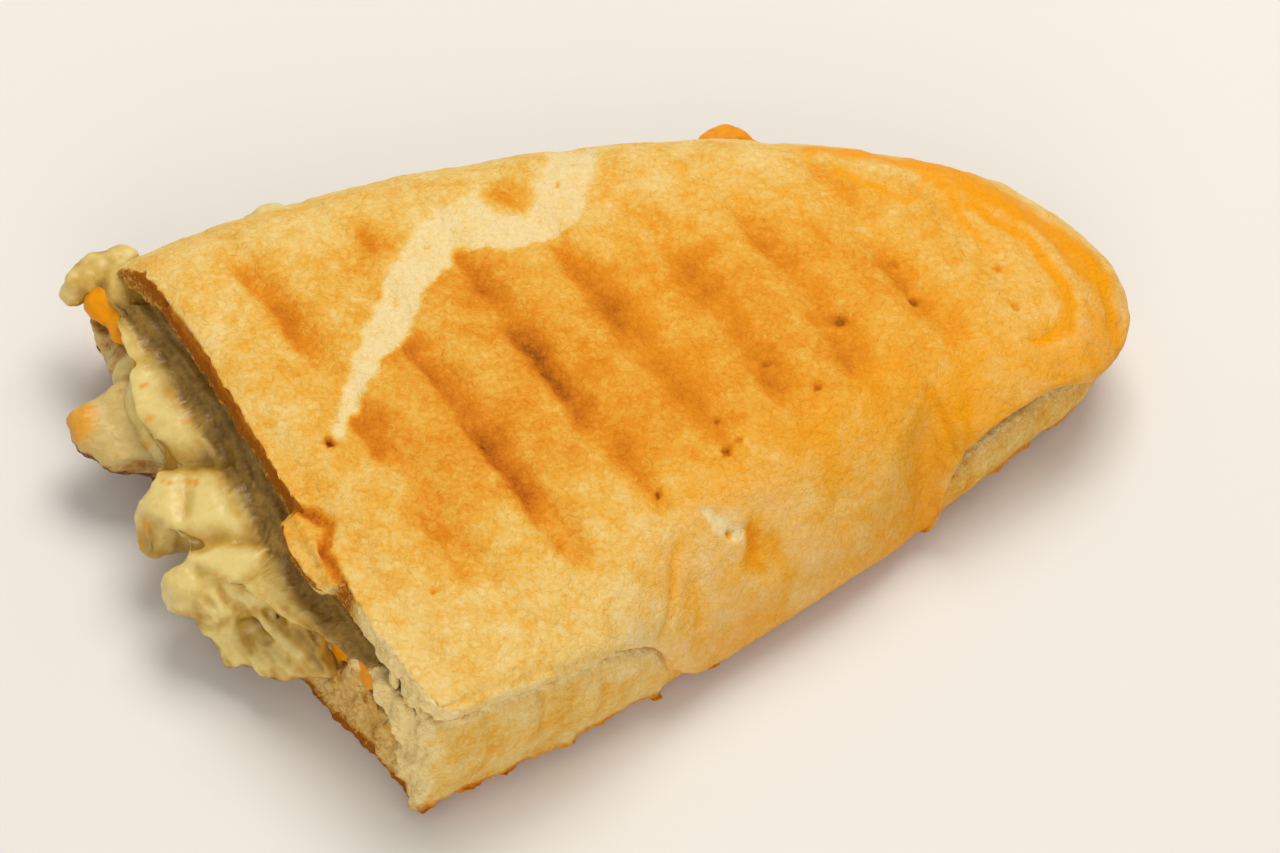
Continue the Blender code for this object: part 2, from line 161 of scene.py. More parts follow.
# Creases down the folded side of the lid: places along each, then its depth and half width
LID_TUCKS = (
    (((-3.4, -38.6, 17.5), (-1.6, -38, 20.5), (-0.4, -36.6, 23), (0.9, -34.8, 25.4)), 0.6, 1),
    (((2.6, -36, 12), (3.4, -35.6, 17), (2.6, -35, 21)), 0.4, 1.3),
    (((47.4, -18.6, 26), (49, -19.8, 22), (50.6, -19.2, 18)), 0.8, 0.8),
    (((53, -18.4, 23), (52.6, -18.8, 20), (52.2, -19, 17)), 0.4, 0.7),
    (((-41.5, -45.6, 28), (-36, -46.4, 27.2), (-31, -45.8, 26.6), (-26.5, -44.9, 25.5), (-24.6, -44.5, 26),
      (-21, -43.4, 23.8), (-17, -42.4, 24), (-14.2, -41.6, 22.8), (-11, -40.7, 20.5)), 0.35, 0.6),
)
BASE_TUCKS = (
    (((-24.8, -44.8, 22), (-23.9, -44.4, 18), (-24, -44.4, 12)), 0.5, 0.7),
    (((-33, -46.6, 20), (-32.4, -46.6, 14), (-33, -46.2, 8)), 0.3, 0.8),
    (((-14, -41.8, 18), (-13.2, -41.6, 12), (-13.6, -41, 6)), 0.4, 0.8),
    (((55, -17, 16), (54.4, -16, 11), (54.8, -15, 7)), 0.4, 0.7),
)
# Height of the seam between lid and base at places along the folded side, and of the foot that the lid's
# skin is drawn down to
SEAM_PLACES = (-12, -6, 0, 6, 32, 40, 46, 52)
SEAM_HEIGHTS = (16.5, 10.5, 6.6, 6.2, 6.3, 10.5, 14.5, 17.5)
SKIN_FOOT = 1.0
# Crisp scraps that stand out from the foot of the folded side: centre x, y, z, then radii
FOOT_CRISPS = (
    (-40.6, -46.8, 2.6, 1.6, 0.7, 0.8), (-35, -46, 2.8, 2, 0.7, 0.8), (-28.8, -44.6, 2.8, 1.3, 0.8, 0.7),
    (-18.4, -42.6, 2.8, 1.4, 0.6, 0.7), (-3, -38.4, 3, 1.6, 0.7, 0.7), (6.6, -35.6, 3.2, 1.8, 1.1, 0.8),
)
# White torn crumb on the cut's near corner: how far across the cut it reaches at each height
TORN_HEIGHTS = (0, 3, 9, 14, 18, 21, 30)
TORN_REACHES = (-47.5, -45, -41, -36, -31, -26.5, -26.5)

# Lumps of melted white cheese at the cut: centre x, y, z, then radii
WHITE_LOBES = (
    (-62, 24.5, 14.2, 6.6, 7.4, 5.8), (-60.5, 31, 14.6, 6.2, 5.2, 5.2), (-64.6, 31.6, 13, 4, 3.4, 3.8),
    (-63.4, 18, 13.2, 5.6, 3.8, 5), (-67, 19, 12.2, 2.4, 2.4, 2.6), (-65, 4.4, 13, 7.6, 5.2, 6.2),
    (-60.2, 2.2, 15.2, 6, 5.4, 5.2), (-70.2, 2.6, 11.2, 3, 3.4, 3.2), (-65.6, -7.6, 11.6, 6.6, 4, 5.4),
    (-62, -10.6, 12, 7, 5, 5.6), (-58, -11.5, 14.6, 5.6, 5, 4.8), (-66.6, 48.4, 17.4, 4.8, 3.6, 2.4),
    (-63, 49.6, 18.4, 4.4, 2.4, 2), (-70, 47.2, 15.6, 2.4, 2.6, 1.8), (-56.4, -20.6, 7.8, 4.6, 4.2, 2.6),
    (-53.6, -23, 9, 3, 3, 2.6), (-59.4, -17.6, 6.6, 3.6, 3, 2.2), (-53.8, -19.6, 12.4, 2.6, 3.4, 2.6),
    (-51.6, -24.4, 10.6, 2.4, 3, 2.4), (-63, 44, 19.6, 3.6, 4, 1.8),
)
WHITE_BITS = (
    (-38, 50.6, 19.2, 5.4, 3.6, 1.6), (-32, 50.2, 18.8, 3.6, 3, 1.4), (-12, 50.6, 18.6, 5, 2.4, 1.2),
    (20, 49, 18.2, 4, 2.6, 1.4), (27, 47.8, 17.4, 3.6, 3, 1.7), (24, 48.4, 16.6, 1.8, 2.2, 2.2),
)
# Folds of cheese drawn out from the lowest lobe: points along each, and its radius
WHITE_FOLDS = (
    (((-58, -9, 18.4), (-56.8, -13, 18.6), (-55.8, -16.5, 17.2), (-54, -20.5, 15.2), (-52.4, -24.6, 13.4)),
      1.3),
    (((-56, -13, 18.8), (-54.4, -17.2, 18.6), (-52.4, -20.8, 16.4), (-50.6, -23.4, 13.8)), 1.1),
    (((-61, -12, 15), (-59, -16, 13.2), (-56.6, -20.4, 11.8), (-54.2, -23.6, 11.4)), 1.2),
    (((-65.4, -12, 8), (-62.6, -15.6, 6.8), (-58.4, -18.6, 6.6), (-53.4, -21.6, 8)), 1.8),
    (((-63.6, -12.5, 8.4), (-63.6, -16, 6.4), (-63.4, -18.6, 4.6)), 1.5),
    (((-60, -13, 9.5), (-57, -17.5, 9), (-53, -22.5, 9.5), (-49.6, -26.5, 9)), 1.2),
)
# Creases between the lobes: points along each, then its depth and half width
WHITE_CREASES = (
    (((-71, 18.6, 14), (-68.6, 13.6, 16), (-64.9, 10.8, 18), (-60.7, 9.4, 20), (-56.5, 8.6, 21)), 2.2,
      2.2),
    (((-73, 3, 12), (-70.6, -1, 15), (-67, -3.2, 17), (-62, -5, 18), (-57.5, -7, 20)), 1.8, 2),
    (((-63.4, 9.5, 19), (-65.2, 2.6, 19), (-67.4, -2.6, 17)), 0.8, 1.2),
    (((-61.4, -13.5, 15), (-57.8, -11.9, 18), (-55, -10.3, 20)), 0.9, 1),
    (((-66, 29, 14), (-63.6, 27.6, 18), (-60, 27.4, 20)), 0.6, 1.2),
    (((-66.5, -8.5, 16), (-64, -12, 15), (-61.5, -15.5, 12)), 0.6, 1),
)
# Places where orange fat has gathered on the white cheese: x, y, radius, strength
OIL_SPOTS = (
    (-65.4, 24.5, 0.7, 0.9), (-68.2, 16.6, 0.8, 1), (-67.4, 7.6, 0.6, 0.8), (-66.3, 6.9, 0.7, 0.9),
    (-63.9, 6.2, 0.6, 0.9), (-62.9, 5.6, 0.8, 1), (-72, 3, 0.9, 1), (-61.2, 16.1, 0.6, 0.7),
    (-61.8, 21.4, 0.7, 0.7), (-64.6, 21.8, 0.5, 0.7), (-54.6, -18.2, 0.7, 0.8), (-53.6, -20.6, 0.8, 0.8),
    (-58.6, 4.2, 0.5, 0.6), (-64.4, -10.4, 0.5, 0.5), (-70, -2.4, 0.8, 0.7), (-66.2, 18.6, 0.9, 0.8),
)
# A hole in the lowest lobe, pressed in and painted dark as shade: centre x, y, z and radius
WHITE_HOLE = (-59, -15.8, 11.6, 1.7)
CHICKEN_CHUNKS = (
    (-73, 23.4, 11.6, 3.8, 4.2, 3), (-74, 25.6, 12.4, 3.2, 3.4, 2.8), (-70.2, 19, 11, 3.8, 3, 2.6),
    (-69.6, 41, 12, 3.2, 3.2, 2.8), (-66, 12.4, 10, 4, 3, 2.6),
)
CHEDDAR_POOLS = (
    (-65.8, 43.4, 16.6, 3.8, 3.4, 3), (-62.5, 40, 18, 3.4, 3.4, 2.6), (-50.2, -25.6, 13.4, 1.6, 1.6, 2),
    (-47, -26.4, 14.2, 1.8, 2, 2.6), (-47.4, -22.6, 18.2, 2, 3.4, 2.4), (35.5, 50.2, 17.6, 4.6, 3.2, 2.4),
    (31.6, 48.4, 17.4, 2.6, 2.4, 1.7), (39.4, 48.6, 16.2, 3.2, 2.2, 1.6), (-20, 50, 14.6, 6, 2.2, 1.3),
    (4, 49.4, 14.8, 5, 2.4, 1.5), (7, 49.6, 13.2, 1.6, 1.8, 2.2),
)
# A hollow in the chicken at the back of the cut, pressed in and painted dark as shade: centre x, y, z and
# radius
CAVITY = (-71, 46.5, 11.2, 4)

# Clumps of torn crumb: seed, count, range across the cut, range of heights, greatest half size, inset
LID_CLUMPS = ((3, 14, (-45.0, -34.0), (20.8, 26.0), 1.7, 0.0),)
BASE_CLUMPS = (
    (4, 46, (-47.0, -27.0), (1.0, 21.0), 1.9, 0.0), (8, 16, (-31.0, -20.0), (6.0, 11.0), 1.9, 0.0),
    (9, 40, (-38.0, -26.0), (4.0, 20.0), 2.4, 1.6),
)
# A bay in the lower edge of the unbrowned crack: centre x, y, then radii
PALE_BAY = (-14.5, 28.5, 1.6, 3.6)
# Uneven relief, layer by layer: amount in mm, lump size in mm, seed, octaves
LID_RELIEF = ((0.28, 13.0, 1, 1), (0.15, 4.0, 2, 2), (0.08, 1.5, 3, 1))
BASE_RELIEF = ((0.25, 10.0, 26, 1), (0.14, 3.5, 27, 2), (0.08, 1.3, 28, 1), (0.25, (3.0, 3.0, 9.0), 34, 2))
WHITE_RELIEF = ((0.45, 5.0, 41, 1), (0.22, (2.0, 2.0, 4.0), 42, 2))
CHEDDAR_RELIEF = ((0.35, 4.0, 51, 1), (0.22, 1.8, 52, 2))
# Crisp edge of the base's foot and unevenness of its cut rim, as layers too
FOOT_RELIEF = ((0.5, (2.6, 2.6, 4.0), 29, 1), (0.35, (0.9, 0.9, 2.0), 40, 1))
BASE_RIM = ((0.8, 4.0, 31, 1), (0.4, 1.5, 32, 1))
LID_RIM = ((0.5, 6.0, 7, 1), (0.18, 1.4, 8, 1))


def linear(code):
    """A screen colour such as #DE9237 as the linear values that Blender's sockets take."""
    shares = [int(code[i:i + 2], 16) / 255 for i in (1, 3, 5)]
    return tuple(s / 12.92 if s <= 0.04045 else ((s + 0.055) / 1.055) ** 2.4 for s in shares)


def length_setting(name, description, value):
    return FloatProperty(name=name, description=description, default=value, unit="LENGTH")


def colour_setting(name, description, code):
    return FloatVectorProperty(name=name, description=description, default=linear(code),
                               subtype="COLOR", size=3, min=0.0, max=1.0)


class CrustSettings(bpy.types.PropertyGroup):
    """Sizes and colours of the two bread halves."""
    grain: length_setting("Mesh grain", "Edge length of the bread's fine mesh", 0.66 * MM)
    stroke_depth: length_setting("Stroke depth", "How far a browned stroke is pressed in", 0.50 * MM)
    pale: colour_setting("Unbrowned crust", "Crust that the grill didn't touch", "#EDD49A")
    straw: colour_setting("Straw crust", "Palest browned crust", "#EAC573")
    golden: colour_setting("Golden crust", "Lightly browned crust", "#E6AC42")
    amber: colour_setting("Amber crust", "Well browned crust", "#DF8B20")
    brown: colour_setting("Brown crust", "Crust along the grill troughs", "#C06A12")
    char: colour_setting("Charred crust", "Burst bubbles and burnt specks", "#6A3208")
    grease: colour_setting("Cheese grease", "Crust soaked with orange cheese fat", "#F29E04")
    crumb: colour_setting("Crumb", "Torn bread inside", "#F4DA98")
    crumb_damp: colour_setting("Damp crumb", "Pressed and damp bread inside", "#D0A04A")
    crumb_toasted: colour_setting("Toasted crumb", "Bread inside that the heat has browned", "#9E5A0C")


class FillingSettings(bpy.types.PropertyGroup):
    """Sizes and colours of the chicken and the cheeses."""
    grain: length_setting("Mesh grain", "Edge length of the filling's fine mesh", 0.72 * MM)
    white: colour_setting("White cheese", "Melted white cheese", "#E3CC80")
    # Half-shaded white cheese: painted shade between the lit cream and the deepest shade
    white_half_shade: colour_setting("White cheese, oily", "White cheese where its oil has run", "#C9A246")
    # Deepest painted shade of the white cheese, in its folds, hollows and undersides
    white_full_shade: colour_setting("White cheese in folds", "Thick white cheese in shade", "#8E6A1E")
    fat: colour_setting("Orange fat", "Spots of fat on the cheese and the meat", "#E29A12")
    wet_crumb: colour_setting("Wet crumb", "Steamed crumb and sauce under the lid", "#A98338")
    # Painted shade in the cracks of the steamed crumb under the lid
    wet_crack_shade: colour_setting("Wet cracks", "Cracks in the steamed crumb", "#705010")
    chicken: colour_setting("Chicken", "Cooked chicken meat", "#CDB16C")
    # Browned meat, also used where the meat's underside is painted in shade
    chicken_seared: colour_setting("Seared chicken", "Browned edge of the meat", "#AE6E20")
    # Darkest meat, painted as shade on the meat's underside and in its hollow
    chicken_shade: colour_setting("Dark chicken", "Darkest edge of the meat", "#683A0A")
    cheddar: colour_setting("Orange cheese", "Melted orange cheese", "#EC9808")
    # Painted shade of the orange cheese, in its hollows and on its undersides
    cheddar_shade: colour_setting("Orange cheese in folds", "Oily edge of the orange cheese", "#BC6606")


class StageSettings(bpy.types.PropertyGroup):
    """Camera, light and floor."""
    lens: FloatProperty(name="Lens", description="Focal length on a 36 mm sensor, in mm", default=180.0)
    roll: FloatProperty(name="Roll", description="Tilt of the camera about its view axis",
                        default=math.radians(8.5), subtype="ANGLE")
    key: FloatProperty(name="Key light", description="Power of the soft light above, in watts", default=4.7)
    fill: FloatProperty(name="Fill light", description="Power of the soft light in front, in watts",
                        default=2.3)
    sky: FloatProperty(name="Room light", description="Brightness of the light from all round",
                       default=0.42, subtype="FACTOR")
    floor: colour_setting("Floor", "Plain pale floor", "#E7E4DE")


def smooth(low, high, value):
    """0 below low, 1 above high, and an even S-curve between them; low may be the greater."""
    t = np.clip((value - low) / (high - low), 0, 1)
    return t * t * (3 - 2 * t)


def band(value, rise, full, fall, gone):
    """1 from full to fall, 0 before rise and past gone, with even S-curves between them."""
    return smooth(rise, full, value) * smooth(gone, fall, value)


def swell(points, size, seed, octaves=1):
    """Random swell from about -1 to 1 with lumps of the given size in mm, the same on every run."""
    scaled = points / np.array(size) + np.array([seed * 3.17, seed * 7.31, seed * 5.23])
    return np.array([noise.fractal(p, 1, 2, octaves) for p in scaled.tolist()])


def cells(points, size, seed):
    """Distance from each point to the middle of its cell, 0 to about 1, for pores of that size in mm."""
    scaled = points / size + seed * 4.7
    return np.array([noise.voronoi(p)[0][0] for p in scaled.tolist()])


def bell(away, width, power=2):
    """1 where away is 0, fading to 0 past the width; a higher power gives it a flatter top."""
    return np.exp(-(away / width) ** power)


def rough(points, layers):
    """Uneven relief in mm: each layer of swell gives its amount, lump size, seed and octaves."""
    return sum(amount * swell(points, size, seed, octaves) for amount, size, seed, octaves in layers)


def wander(points, seed, shift):
    """The points shifted in plan by up to about the given distance in mm, so that drawn edges wander."""
    warp = np.stack([swell(points, 5, seed), swell(points, 5, seed + 1), np.zeros(len(points))], axis=1)
    return points + shift * warp


def torn_relief(points, seed, fine_seed):
    """Relief of torn crumb in mm, with open pores of two sizes."""
    return 0.6 * cells(points, 1.7, seed) + 0.25 * cells(points, 0.8, fine_seed) - 0.55


def strokes(points, marks):
    """Browned strokes that run along the grill troughs, 0 to 1."""
    x, y, _ = points.T
    scale = math.hypot(1, GRILL_LEAN)
    total = np.zeros(len(points))
    for mark_x, mark_y, half_length, half_width, strength in marks:
        dx, dy = x - mark_x, y - mark_y
        along, across = (dy + GRILL_LEAN * dx) / scale, (dx - GRILL_LEAN * dy) / scale
        total = np.maximum(total, strength * bell(across, half_width) * bell(along, half_length, 4))
    return total


def off_line(points, start, end):
    """How far along a straight stretch each point lies, 0 to 1, and its distance from the stretch."""
    step, gap = np.subtract(end, start), points - start
    share = np.clip(gap @ step / (step @ step), 0, 1)
    return share, np.linalg.norm(gap - share[:, None] * step, axis=1)


def inside_path(points, path):
    """How far each point lies inside a band of changing half width in plan, in mm; outside is negative."""
    depths = []
    for (*start, start_width), (*end, end_width) in zip(path, path[1:]):
        share, away = off_line(points[:, :2], start, end)
        depths.append(start_width + (end_width - start_width) * share - away)
    return np.maximum.reduce(depths)


def troughs(points):
    """The regular grill troughs, 0 on the flat bands between them and 1 along their middle."""
    across = (points[:, 0] - GRILL_START - GRILL_LEAN * points[:, 1]) / GRILL_PITCH
    away = np.abs(across - np.round(across)) * GRILL_PITCH
    return 1 - smooth(TROUGH_FULL, TROUGH_GONE, away)


def holes(points, places):
    """Depth of small round pits in plan, in mm."""
    x, y, _ = points.T
    return np.maximum.reduce([
        deep * bell(np.hypot(x - hole_x, y - hole_y), radius, 4) for hole_x, hole_y, radius, deep in places])


def grooves(points, lines, axes):
    """Depth of soft grooves in mm, drawn in plan (0, 1) or on the folded side (0, 2).

    Each line gives its places, its depth and its half width.
    """
    depths = []
    for path, deep, width in lines:
        path = np.array(path)[:, axes]
        away = [off_line(points[:, axes], *ends)[1] for ends in zip(path, path[1:])]
        depths.append(deep * bell(np.minimum.reduce(away), width))
    return np.maximum.reduce(depths)


def pocket(points, place):
    """1 in the middle of a round hollow given by its centre and radius, fading to 0 away from it."""
    *centre, radius = place
    return bell(np.linalg.norm(points - np.array(centre), axis=1), radius)


def plan_gap(points, rim):
    """Distance in plan from each point to the nearest of the rim's points, in mm."""
    tree = KDTree(len(rim))
    for index, (x, y, _) in enumerate(rim.tolist()):
        tree.insert((x, y, 0), index)
    tree.balance()
    return np.array([tree.find((x, y, 0))[2] for x, y, _ in points.tolist()])


def vectors(items, field):
    """One vector for each of a mesh's vertices."""
    flat = np.empty(len(items) * 3, np.float32)
    items.foreach_get(field, flat)
    return flat.reshape(-1, 3).astype(float)


def read_mm(mesh):
    """A mesh's vertices as millimetres from the drawing's zero."""
    return (vectors(mesh.vertices, "co") - ZERO) / MM


def write_mm(mesh, points):
    """Moves a mesh's vertices to the given places, in millimetres from the drawing's zero."""
    mesh.vertices.foreach_set("co", (points * MM + ZERO).astype(np.float32).ravel())
    mesh.update()


def facing(mesh):
    """Unit directions that point out of a mesh at its vertices."""
    return vectors(mesh.vertex_normals, "vector")


def cut_line():
    """The lid's cut edge in plan, as a smooth x for every y."""
    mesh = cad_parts["bread_top"].data
    edge = read_mm(mesh)[facing(mesh) @ CUT_OUT > 0.6]
    edge = edge[edge[:, 0] < CUT_NEAREST]
    return np.polynomial.Polynomial.fit(edge[:, 1], edge[:, 0], 3)


def side_line(low, high):
    """Where the base's folded side runs between two heights, as a smooth y for every x."""
    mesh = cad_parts["bread_bottom"].data
    points = read_mm(mesh)
    x, y, z = points.T
    side = (facing(mesh)[:, 1] < -0.3) & (z > low) & (z < high) & (y < FOLDED_SIDE) & (x > -46) & (x < 66)
    return np.polynomial.Polynomial.fit(x[side], y[side], 4)


CUT_LINE = cut_line()
SIDE_RIM = side_line(3.8, 7)
SIDE_FOOT = side_line(-1, 0.6)


def reach(points):
    """How far each point stands out past the lid's cut edge, in mm."""
    return (CUT_LINE(points[:, 1]) - points[:, 0]) * -CUT_OUT[0]


def behind_side(points):
    """How far each point lies behind the rim of the folded side, in mm."""
    return points[:, 1] - SIDE_RIM(points[:, 0])


def node_gap(points, node):
    """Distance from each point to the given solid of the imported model, in mm."""
    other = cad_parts[node].data
    shape = BVHTree.FromPolygons([v.co for v in other.vertices], [p.vertices for p in other.polygons])
    places = points * MM + ZERO
    return np.array([shape.find_nearest(p)[3] for p in places.tolist()]) / MM


def relax(mesh, steps, weight=1):
    """Evens out a mesh: each vertex moves towards the middle of its neighbours, as far as its weight says."""
    points = read_mm(mesh)
    pairs = np.empty(len(mesh.edges) * 2, np.int32)
    mesh.edges.foreach_get("vertices", pairs)
    a, b = pairs.reshape(-1, 2).T
    count = len(points)
    degree = np.bincount(a, minlength=count) + np.bincount(b, minlength=count)
    share = np.broadcast_to(RELAX_SHARE * weight, count)[:, None]
    for _ in range(steps):
        total = [np.bincount(a, axis[b], count) + np.bincount(b, axis[a], count) for axis in points.T]
        points += ((total / degree).T - points) * share
    write_mm(mesh, points)


def refine(mesh, chosen):
    """Halves the edges of the chosen part of a mesh, so that it carries finer relief."""
    bm = bmesh.new()
    bm.from_mesh(mesh)
    picked = [edge for edge in bm.edges if chosen[edge.verts[0].index] and chosen[edge.verts[1].index]]
    bmesh.ops.subdivide_edges(bm, edges=picked, cuts=1, use_grid_fill=True)
    bm.to_mesh(mesh)
    bm.free()


def hold_back(points, limit):
    """Pushes what stands out past the lid's cut edge by more than the limit back to it."""
    excess = np.maximum(reach(points) - limit, 0)
    held = points.copy()
    held[:, 0] += excess / -CUT_OUT[0]
    return held


def spot(x, y, z):
    """A place given in mm from the drawing's zero, in metres in the scene."""
    return Vector((x * MM + ZERO[0], y * MM + ZERO[1], z * MM))


def add_lumps(bm, lumps):
    """Adds closed round lumps to a bmesh, each given by its centre and radii in mm."""
    for x, y, z, long, wide, tall in lumps:
        matrix = Matrix.Translation(spot(x, y, z)) @ Matrix.Diagonal((long * MM, wide * MM, tall * MM, 1))
        bmesh.ops.create_icosphere(bm, subdivisions=3, radius=1, matrix=matrix)


def linked(name, data):
    """A new object in the scene, for a mesh, curve, lamp or camera."""
    item = bpy.data.objects.new(name, data)
    bpy.context.collection.objects.link(item)
    return item


def shown_mesh(item):
    """The mesh that an object shows, with its modifiers or its bevel worked out."""
    return bpy.data.meshes.new_from_object(item.evaluated_get(bpy.context.evaluated_depsgraph_get()))


def add_folds(bm, folds):
    """Adds round strands to a bmesh, each given by points along it and its radius in mm."""
    for path, radius in folds:
        curve = bpy.data.curves.new("strand", "CURVE")
        curve.dimensions = "3D"
        curve.bevel_depth = radius * MM
        curve.bevel_resolution = 3
        curve.use_fill_caps = True
        spline = curve.splines.new("NURBS")
        spline.points.add(len(path) - 1)
        for point, place in zip(spline.points, path):
            point.co = (*spot(*place), 1)
        spline.order_u = 4
        spline.use_endpoint_u = True
        strand = linked("strand", curve)
        mesh = shown_mesh(strand)
        bm.from_mesh(mesh)
        bpy.data.objects.remove(strand)
        bpy.data.curves.remove(curve)
        bpy.data.meshes.remove(mesh)


def fused_piece(name, node, grain, lumps, folds=()):
    """A fine, even, closed mesh of one solid with lumps and strands melted into it."""
    bm = bmesh.new()
    bm.from_mesh(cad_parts[node].data)
    bmesh.ops.remove_doubles(bm, verts=bm.verts, dist=0.01 * MM)
    add_lumps(bm, lumps)
    add_folds(bm, folds)
    coarse = bpy.data.meshes.new(name + "_coarse")
    bm.to_mesh(coarse)
    bm.free()
    piece = linked(name, coarse)
    remesh = piece.modifiers.new("even mesh", "REMESH")
    remesh.mode = "VOXEL"
    remesh.voxel_size = grain
    bpy.context.view_layer.update()
    fine = shown_mesh(piece)
    piece.modifiers.clear()
    piece.data = fine
    fine.name = name
    bpy.data.meshes.remove(coarse)
    return piece


def paint(mesh, **masks):
    """Stores each mask, 0 to 1 at every vertex, for the material to read."""
    for name, values in masks.items():
        layer = mesh.attributes.new(name, "FLOAT", "POINT")
        layer.data.foreach_set("value", np.clip(values, 0, 1).astype(np.float32))


def settle(piece, node, material):
    """Gives a finished piece its material and dresses the model with it in place of its plain solid."""
    piece.data.materials.clear()
    piece.data.materials.append(material)
    piece.data.shade_smooth()
    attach(piece, "root")
    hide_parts(node)


def add_node(tree, kind, inputs=None, stops=None, **settings):
    """Adds one shader node, whose inputs are plain values, outputs to link, or nodes for their first output.

    Stops fill a ramp. A colour Mix takes its share and colours at 0, 6 and 7, and its mix is output 2.
    """
    node = tree.nodes.new("ShaderNode" + kind)
    for name, value in settings.items():
        setattr(node, name, value)
    for key, value in (inputs or {}).items():
        if isinstance(value, bpy.types.Node):
            value = value.outputs[0]
        if isinstance(value, bpy.types.NodeSocket):
            tree.links.new(value, node.inputs[key])
        else:
            node.inputs[key].default_value = value
    if stops:
        elements = node.color_ramp.elements
        while len(elements) < len(stops):
            elements.new(1)
        for element, (position, colour) in zip(elements, stops):
            element.position = position
            element.color = (*colour, 1)
    return node


def new_material(name, *masks):
    """An empty material: it, its tree, its coordinates in metres and the outputs of the painted masks."""
    material = bpy.data.materials.new(name)
    material.use_nodes = True
    tree = material.node_tree
    tree.nodes.clear()
    place = add_node(tree, "TexCoord").outputs["Object"]
    return material, tree, place, *(
        add_node(tree, "Attribute", attribute_name=mask).outputs["Fac"] for mask in masks)


def finished(material, colour, height, strength, depth, finish):
    """Ends a food's material with its bumps, of the given strength and depth in mm, and its finish."""
    tree = material.node_tree
    bump = add_node(tree, "Bump", {"Height": height, "Strength": strength, "Distance": depth * MM})
    surface = add_node(tree, "BsdfPrincipled", {"Base Color": colour, "Normal": bump, **finish})
    add_node(tree, "OutputMaterial", {"Surface": surface})
    return material


def crust_material(crust):
    """Pressed roll crust, toasted on a ribbed grill.

    Matt and slightly waxy, straw where the press barely touched it, amber to brown along the
    troughs, with fine speckled grain, pores and a thin crazing in its skin.
    """
    material, tree, place, toast, grease, crumb, damp = new_material(
        "toasted_roll_crust", "toast", "grease", "crumb", "damp")
    grain = add_node(tree, "TexNoise", {
        "Vector": place, "Scale": 1 / (0.9 * MM), "Detail": 3, "Roughness": 0.65, "Distortion": 0.8})
    mottle = add_node(tree, "TexNoise", {
        "Vector": place, "Scale": 1 / (3.4 * MM), "Detail": 2, "Roughness": 0.5})
    grained = add_node(tree, "Math", {0: grain, 1: 0.5, 2: toast}, operation="MULTIPLY_ADD")
    mottled = add_node(tree, "Math", {0: mottle, 1: 0.35, 2: grained}, operation="MULTIPLY_ADD")
    centred = add_node(tree, "Math", {0: mottled, 1: 0.42}, operation="SUBTRACT")
    skin = add_node(tree, "ValToRGB", {"Fac": centred}, stops=(
        (0.02, crust.pale), (0.17, crust.straw), (0.33, crust.golden), (0.5, crust.amber),
        (0.76, crust.brown), (1, crust.char)))
    speckle = add_node(tree, "MapRange", {
        "Value": mottle, "From Min": 0.3, "From Max": 0.62, "To Min": 0.9, "To Max": 1})
    soaking = add_node(tree, "Math", {0: grease, 1: speckle}, operation="MULTIPLY")
    soaked = add_node(tree, "Mix", {0: soaking, 6: skin, 7: (*crust.grease, 1)}, data_type="RGBA")
    tone = add_node(tree, "Math", {0: grain, 1: 0.9, 2: damp}, operation="MULTIPLY_ADD")
    inside = add_node(tree, "ValToRGB", {"Fac": tone}, stops=(
        (0.42, crust.crumb), (0.8, crust.crumb_damp), (1, crust.crumb_toasted)))
    colour = add_node(tree, "Mix", {0: crumb, 6: soaked.outputs[2], 7: inside}, data_type="RGBA")
    gloss = add_node(tree, "MapRange", {"Value": soaking, "To Min": 0.7, "To Max": 0.55})
    crazing = add_node(tree, "TexVoronoi", {"Vector": place, "Scale": 1 / (1.5 * MM)}, feature="SMOOTH_F1")
    height = add_node(tree, "Math", {0: crazing, 1: 0.5, 2: grain}, operation="MULTIPLY_ADD")
    return finished(material, colour.outputs[2], height, 0.8, 0.5, {
        "Roughness": gloss, "IOR": 1.45, "Specular IOR Level": 0.08})


def white_cheese_material(filling):
    """Melted white cheese, set as it cooled.

    Soft gloss and depth, cream where it stands proud, ochre painted shade in its folds, hollows and
    undersides with a painted highlight on the back lobe's top, spots of orange fat, and duller under
    the lid where steam and crumb have mixed into it, with painted shade in its cracks there.
    """
    material, tree, place, fold, wet, oil = new_material("melted_white_cheese", "fold", "wet", "oil")
    cloud = add_node(tree, "TexNoise", {
        "Vector": place, "Scale": 1 / (2.6 * MM), "Detail": 3, "Roughness": 0.55})
    tone = add_node(tree, "Math", {0: cloud, 1: 0.5, 2: fold}, operation="MULTIPLY_ADD")
    cream = add_node(tree, "ValToRGB", {"Fac": tone}, stops=(
        (0.24, filling.white), (0.52, filling.white_half_shade), (0.88, filling.white_full_shade)))
    crumbs = add_node(tree, "TexNoise", {
        "Vector": place, "Scale": 1 / (1.1 * MM), "Detail": 3, "Roughness": 0.65, "Distortion": 0.6})
    # In the wet strip the dark stop is painted shade in the valleys between the ridges
    grooved = add_node(tree, "Math", {0: fold, 1: -0.35, 2: crumbs}, operation="MULTIPLY_ADD")
    wet_tone = add_node(tree, "ValToRGB", {"Fac": grooved}, stops=(
        (0.02, filling.wet_crack_shade), (0.62, filling.wet_crumb)))
    mixed = add_node(tree, "Mix", {0: wet, 6: cream, 7: wet_tone}, data_type="RGBA")
    colour = add_node(tree, "Mix", {0: oil, 6: mixed.outputs[2], 7: (*filling.fat, 1)}, data_type="RGBA")
    return finished(material, colour.outputs[2], crumbs, 0.35, 0.3, {
        "Roughness": 0.3, "IOR": 1.45, "Specular IOR Level": 0.42, "Subsurface Weight": 0.3,
        "Subsurface Radius": (1, 0.75, 0.35), "Subsurface Scale": 1.4 * MM})


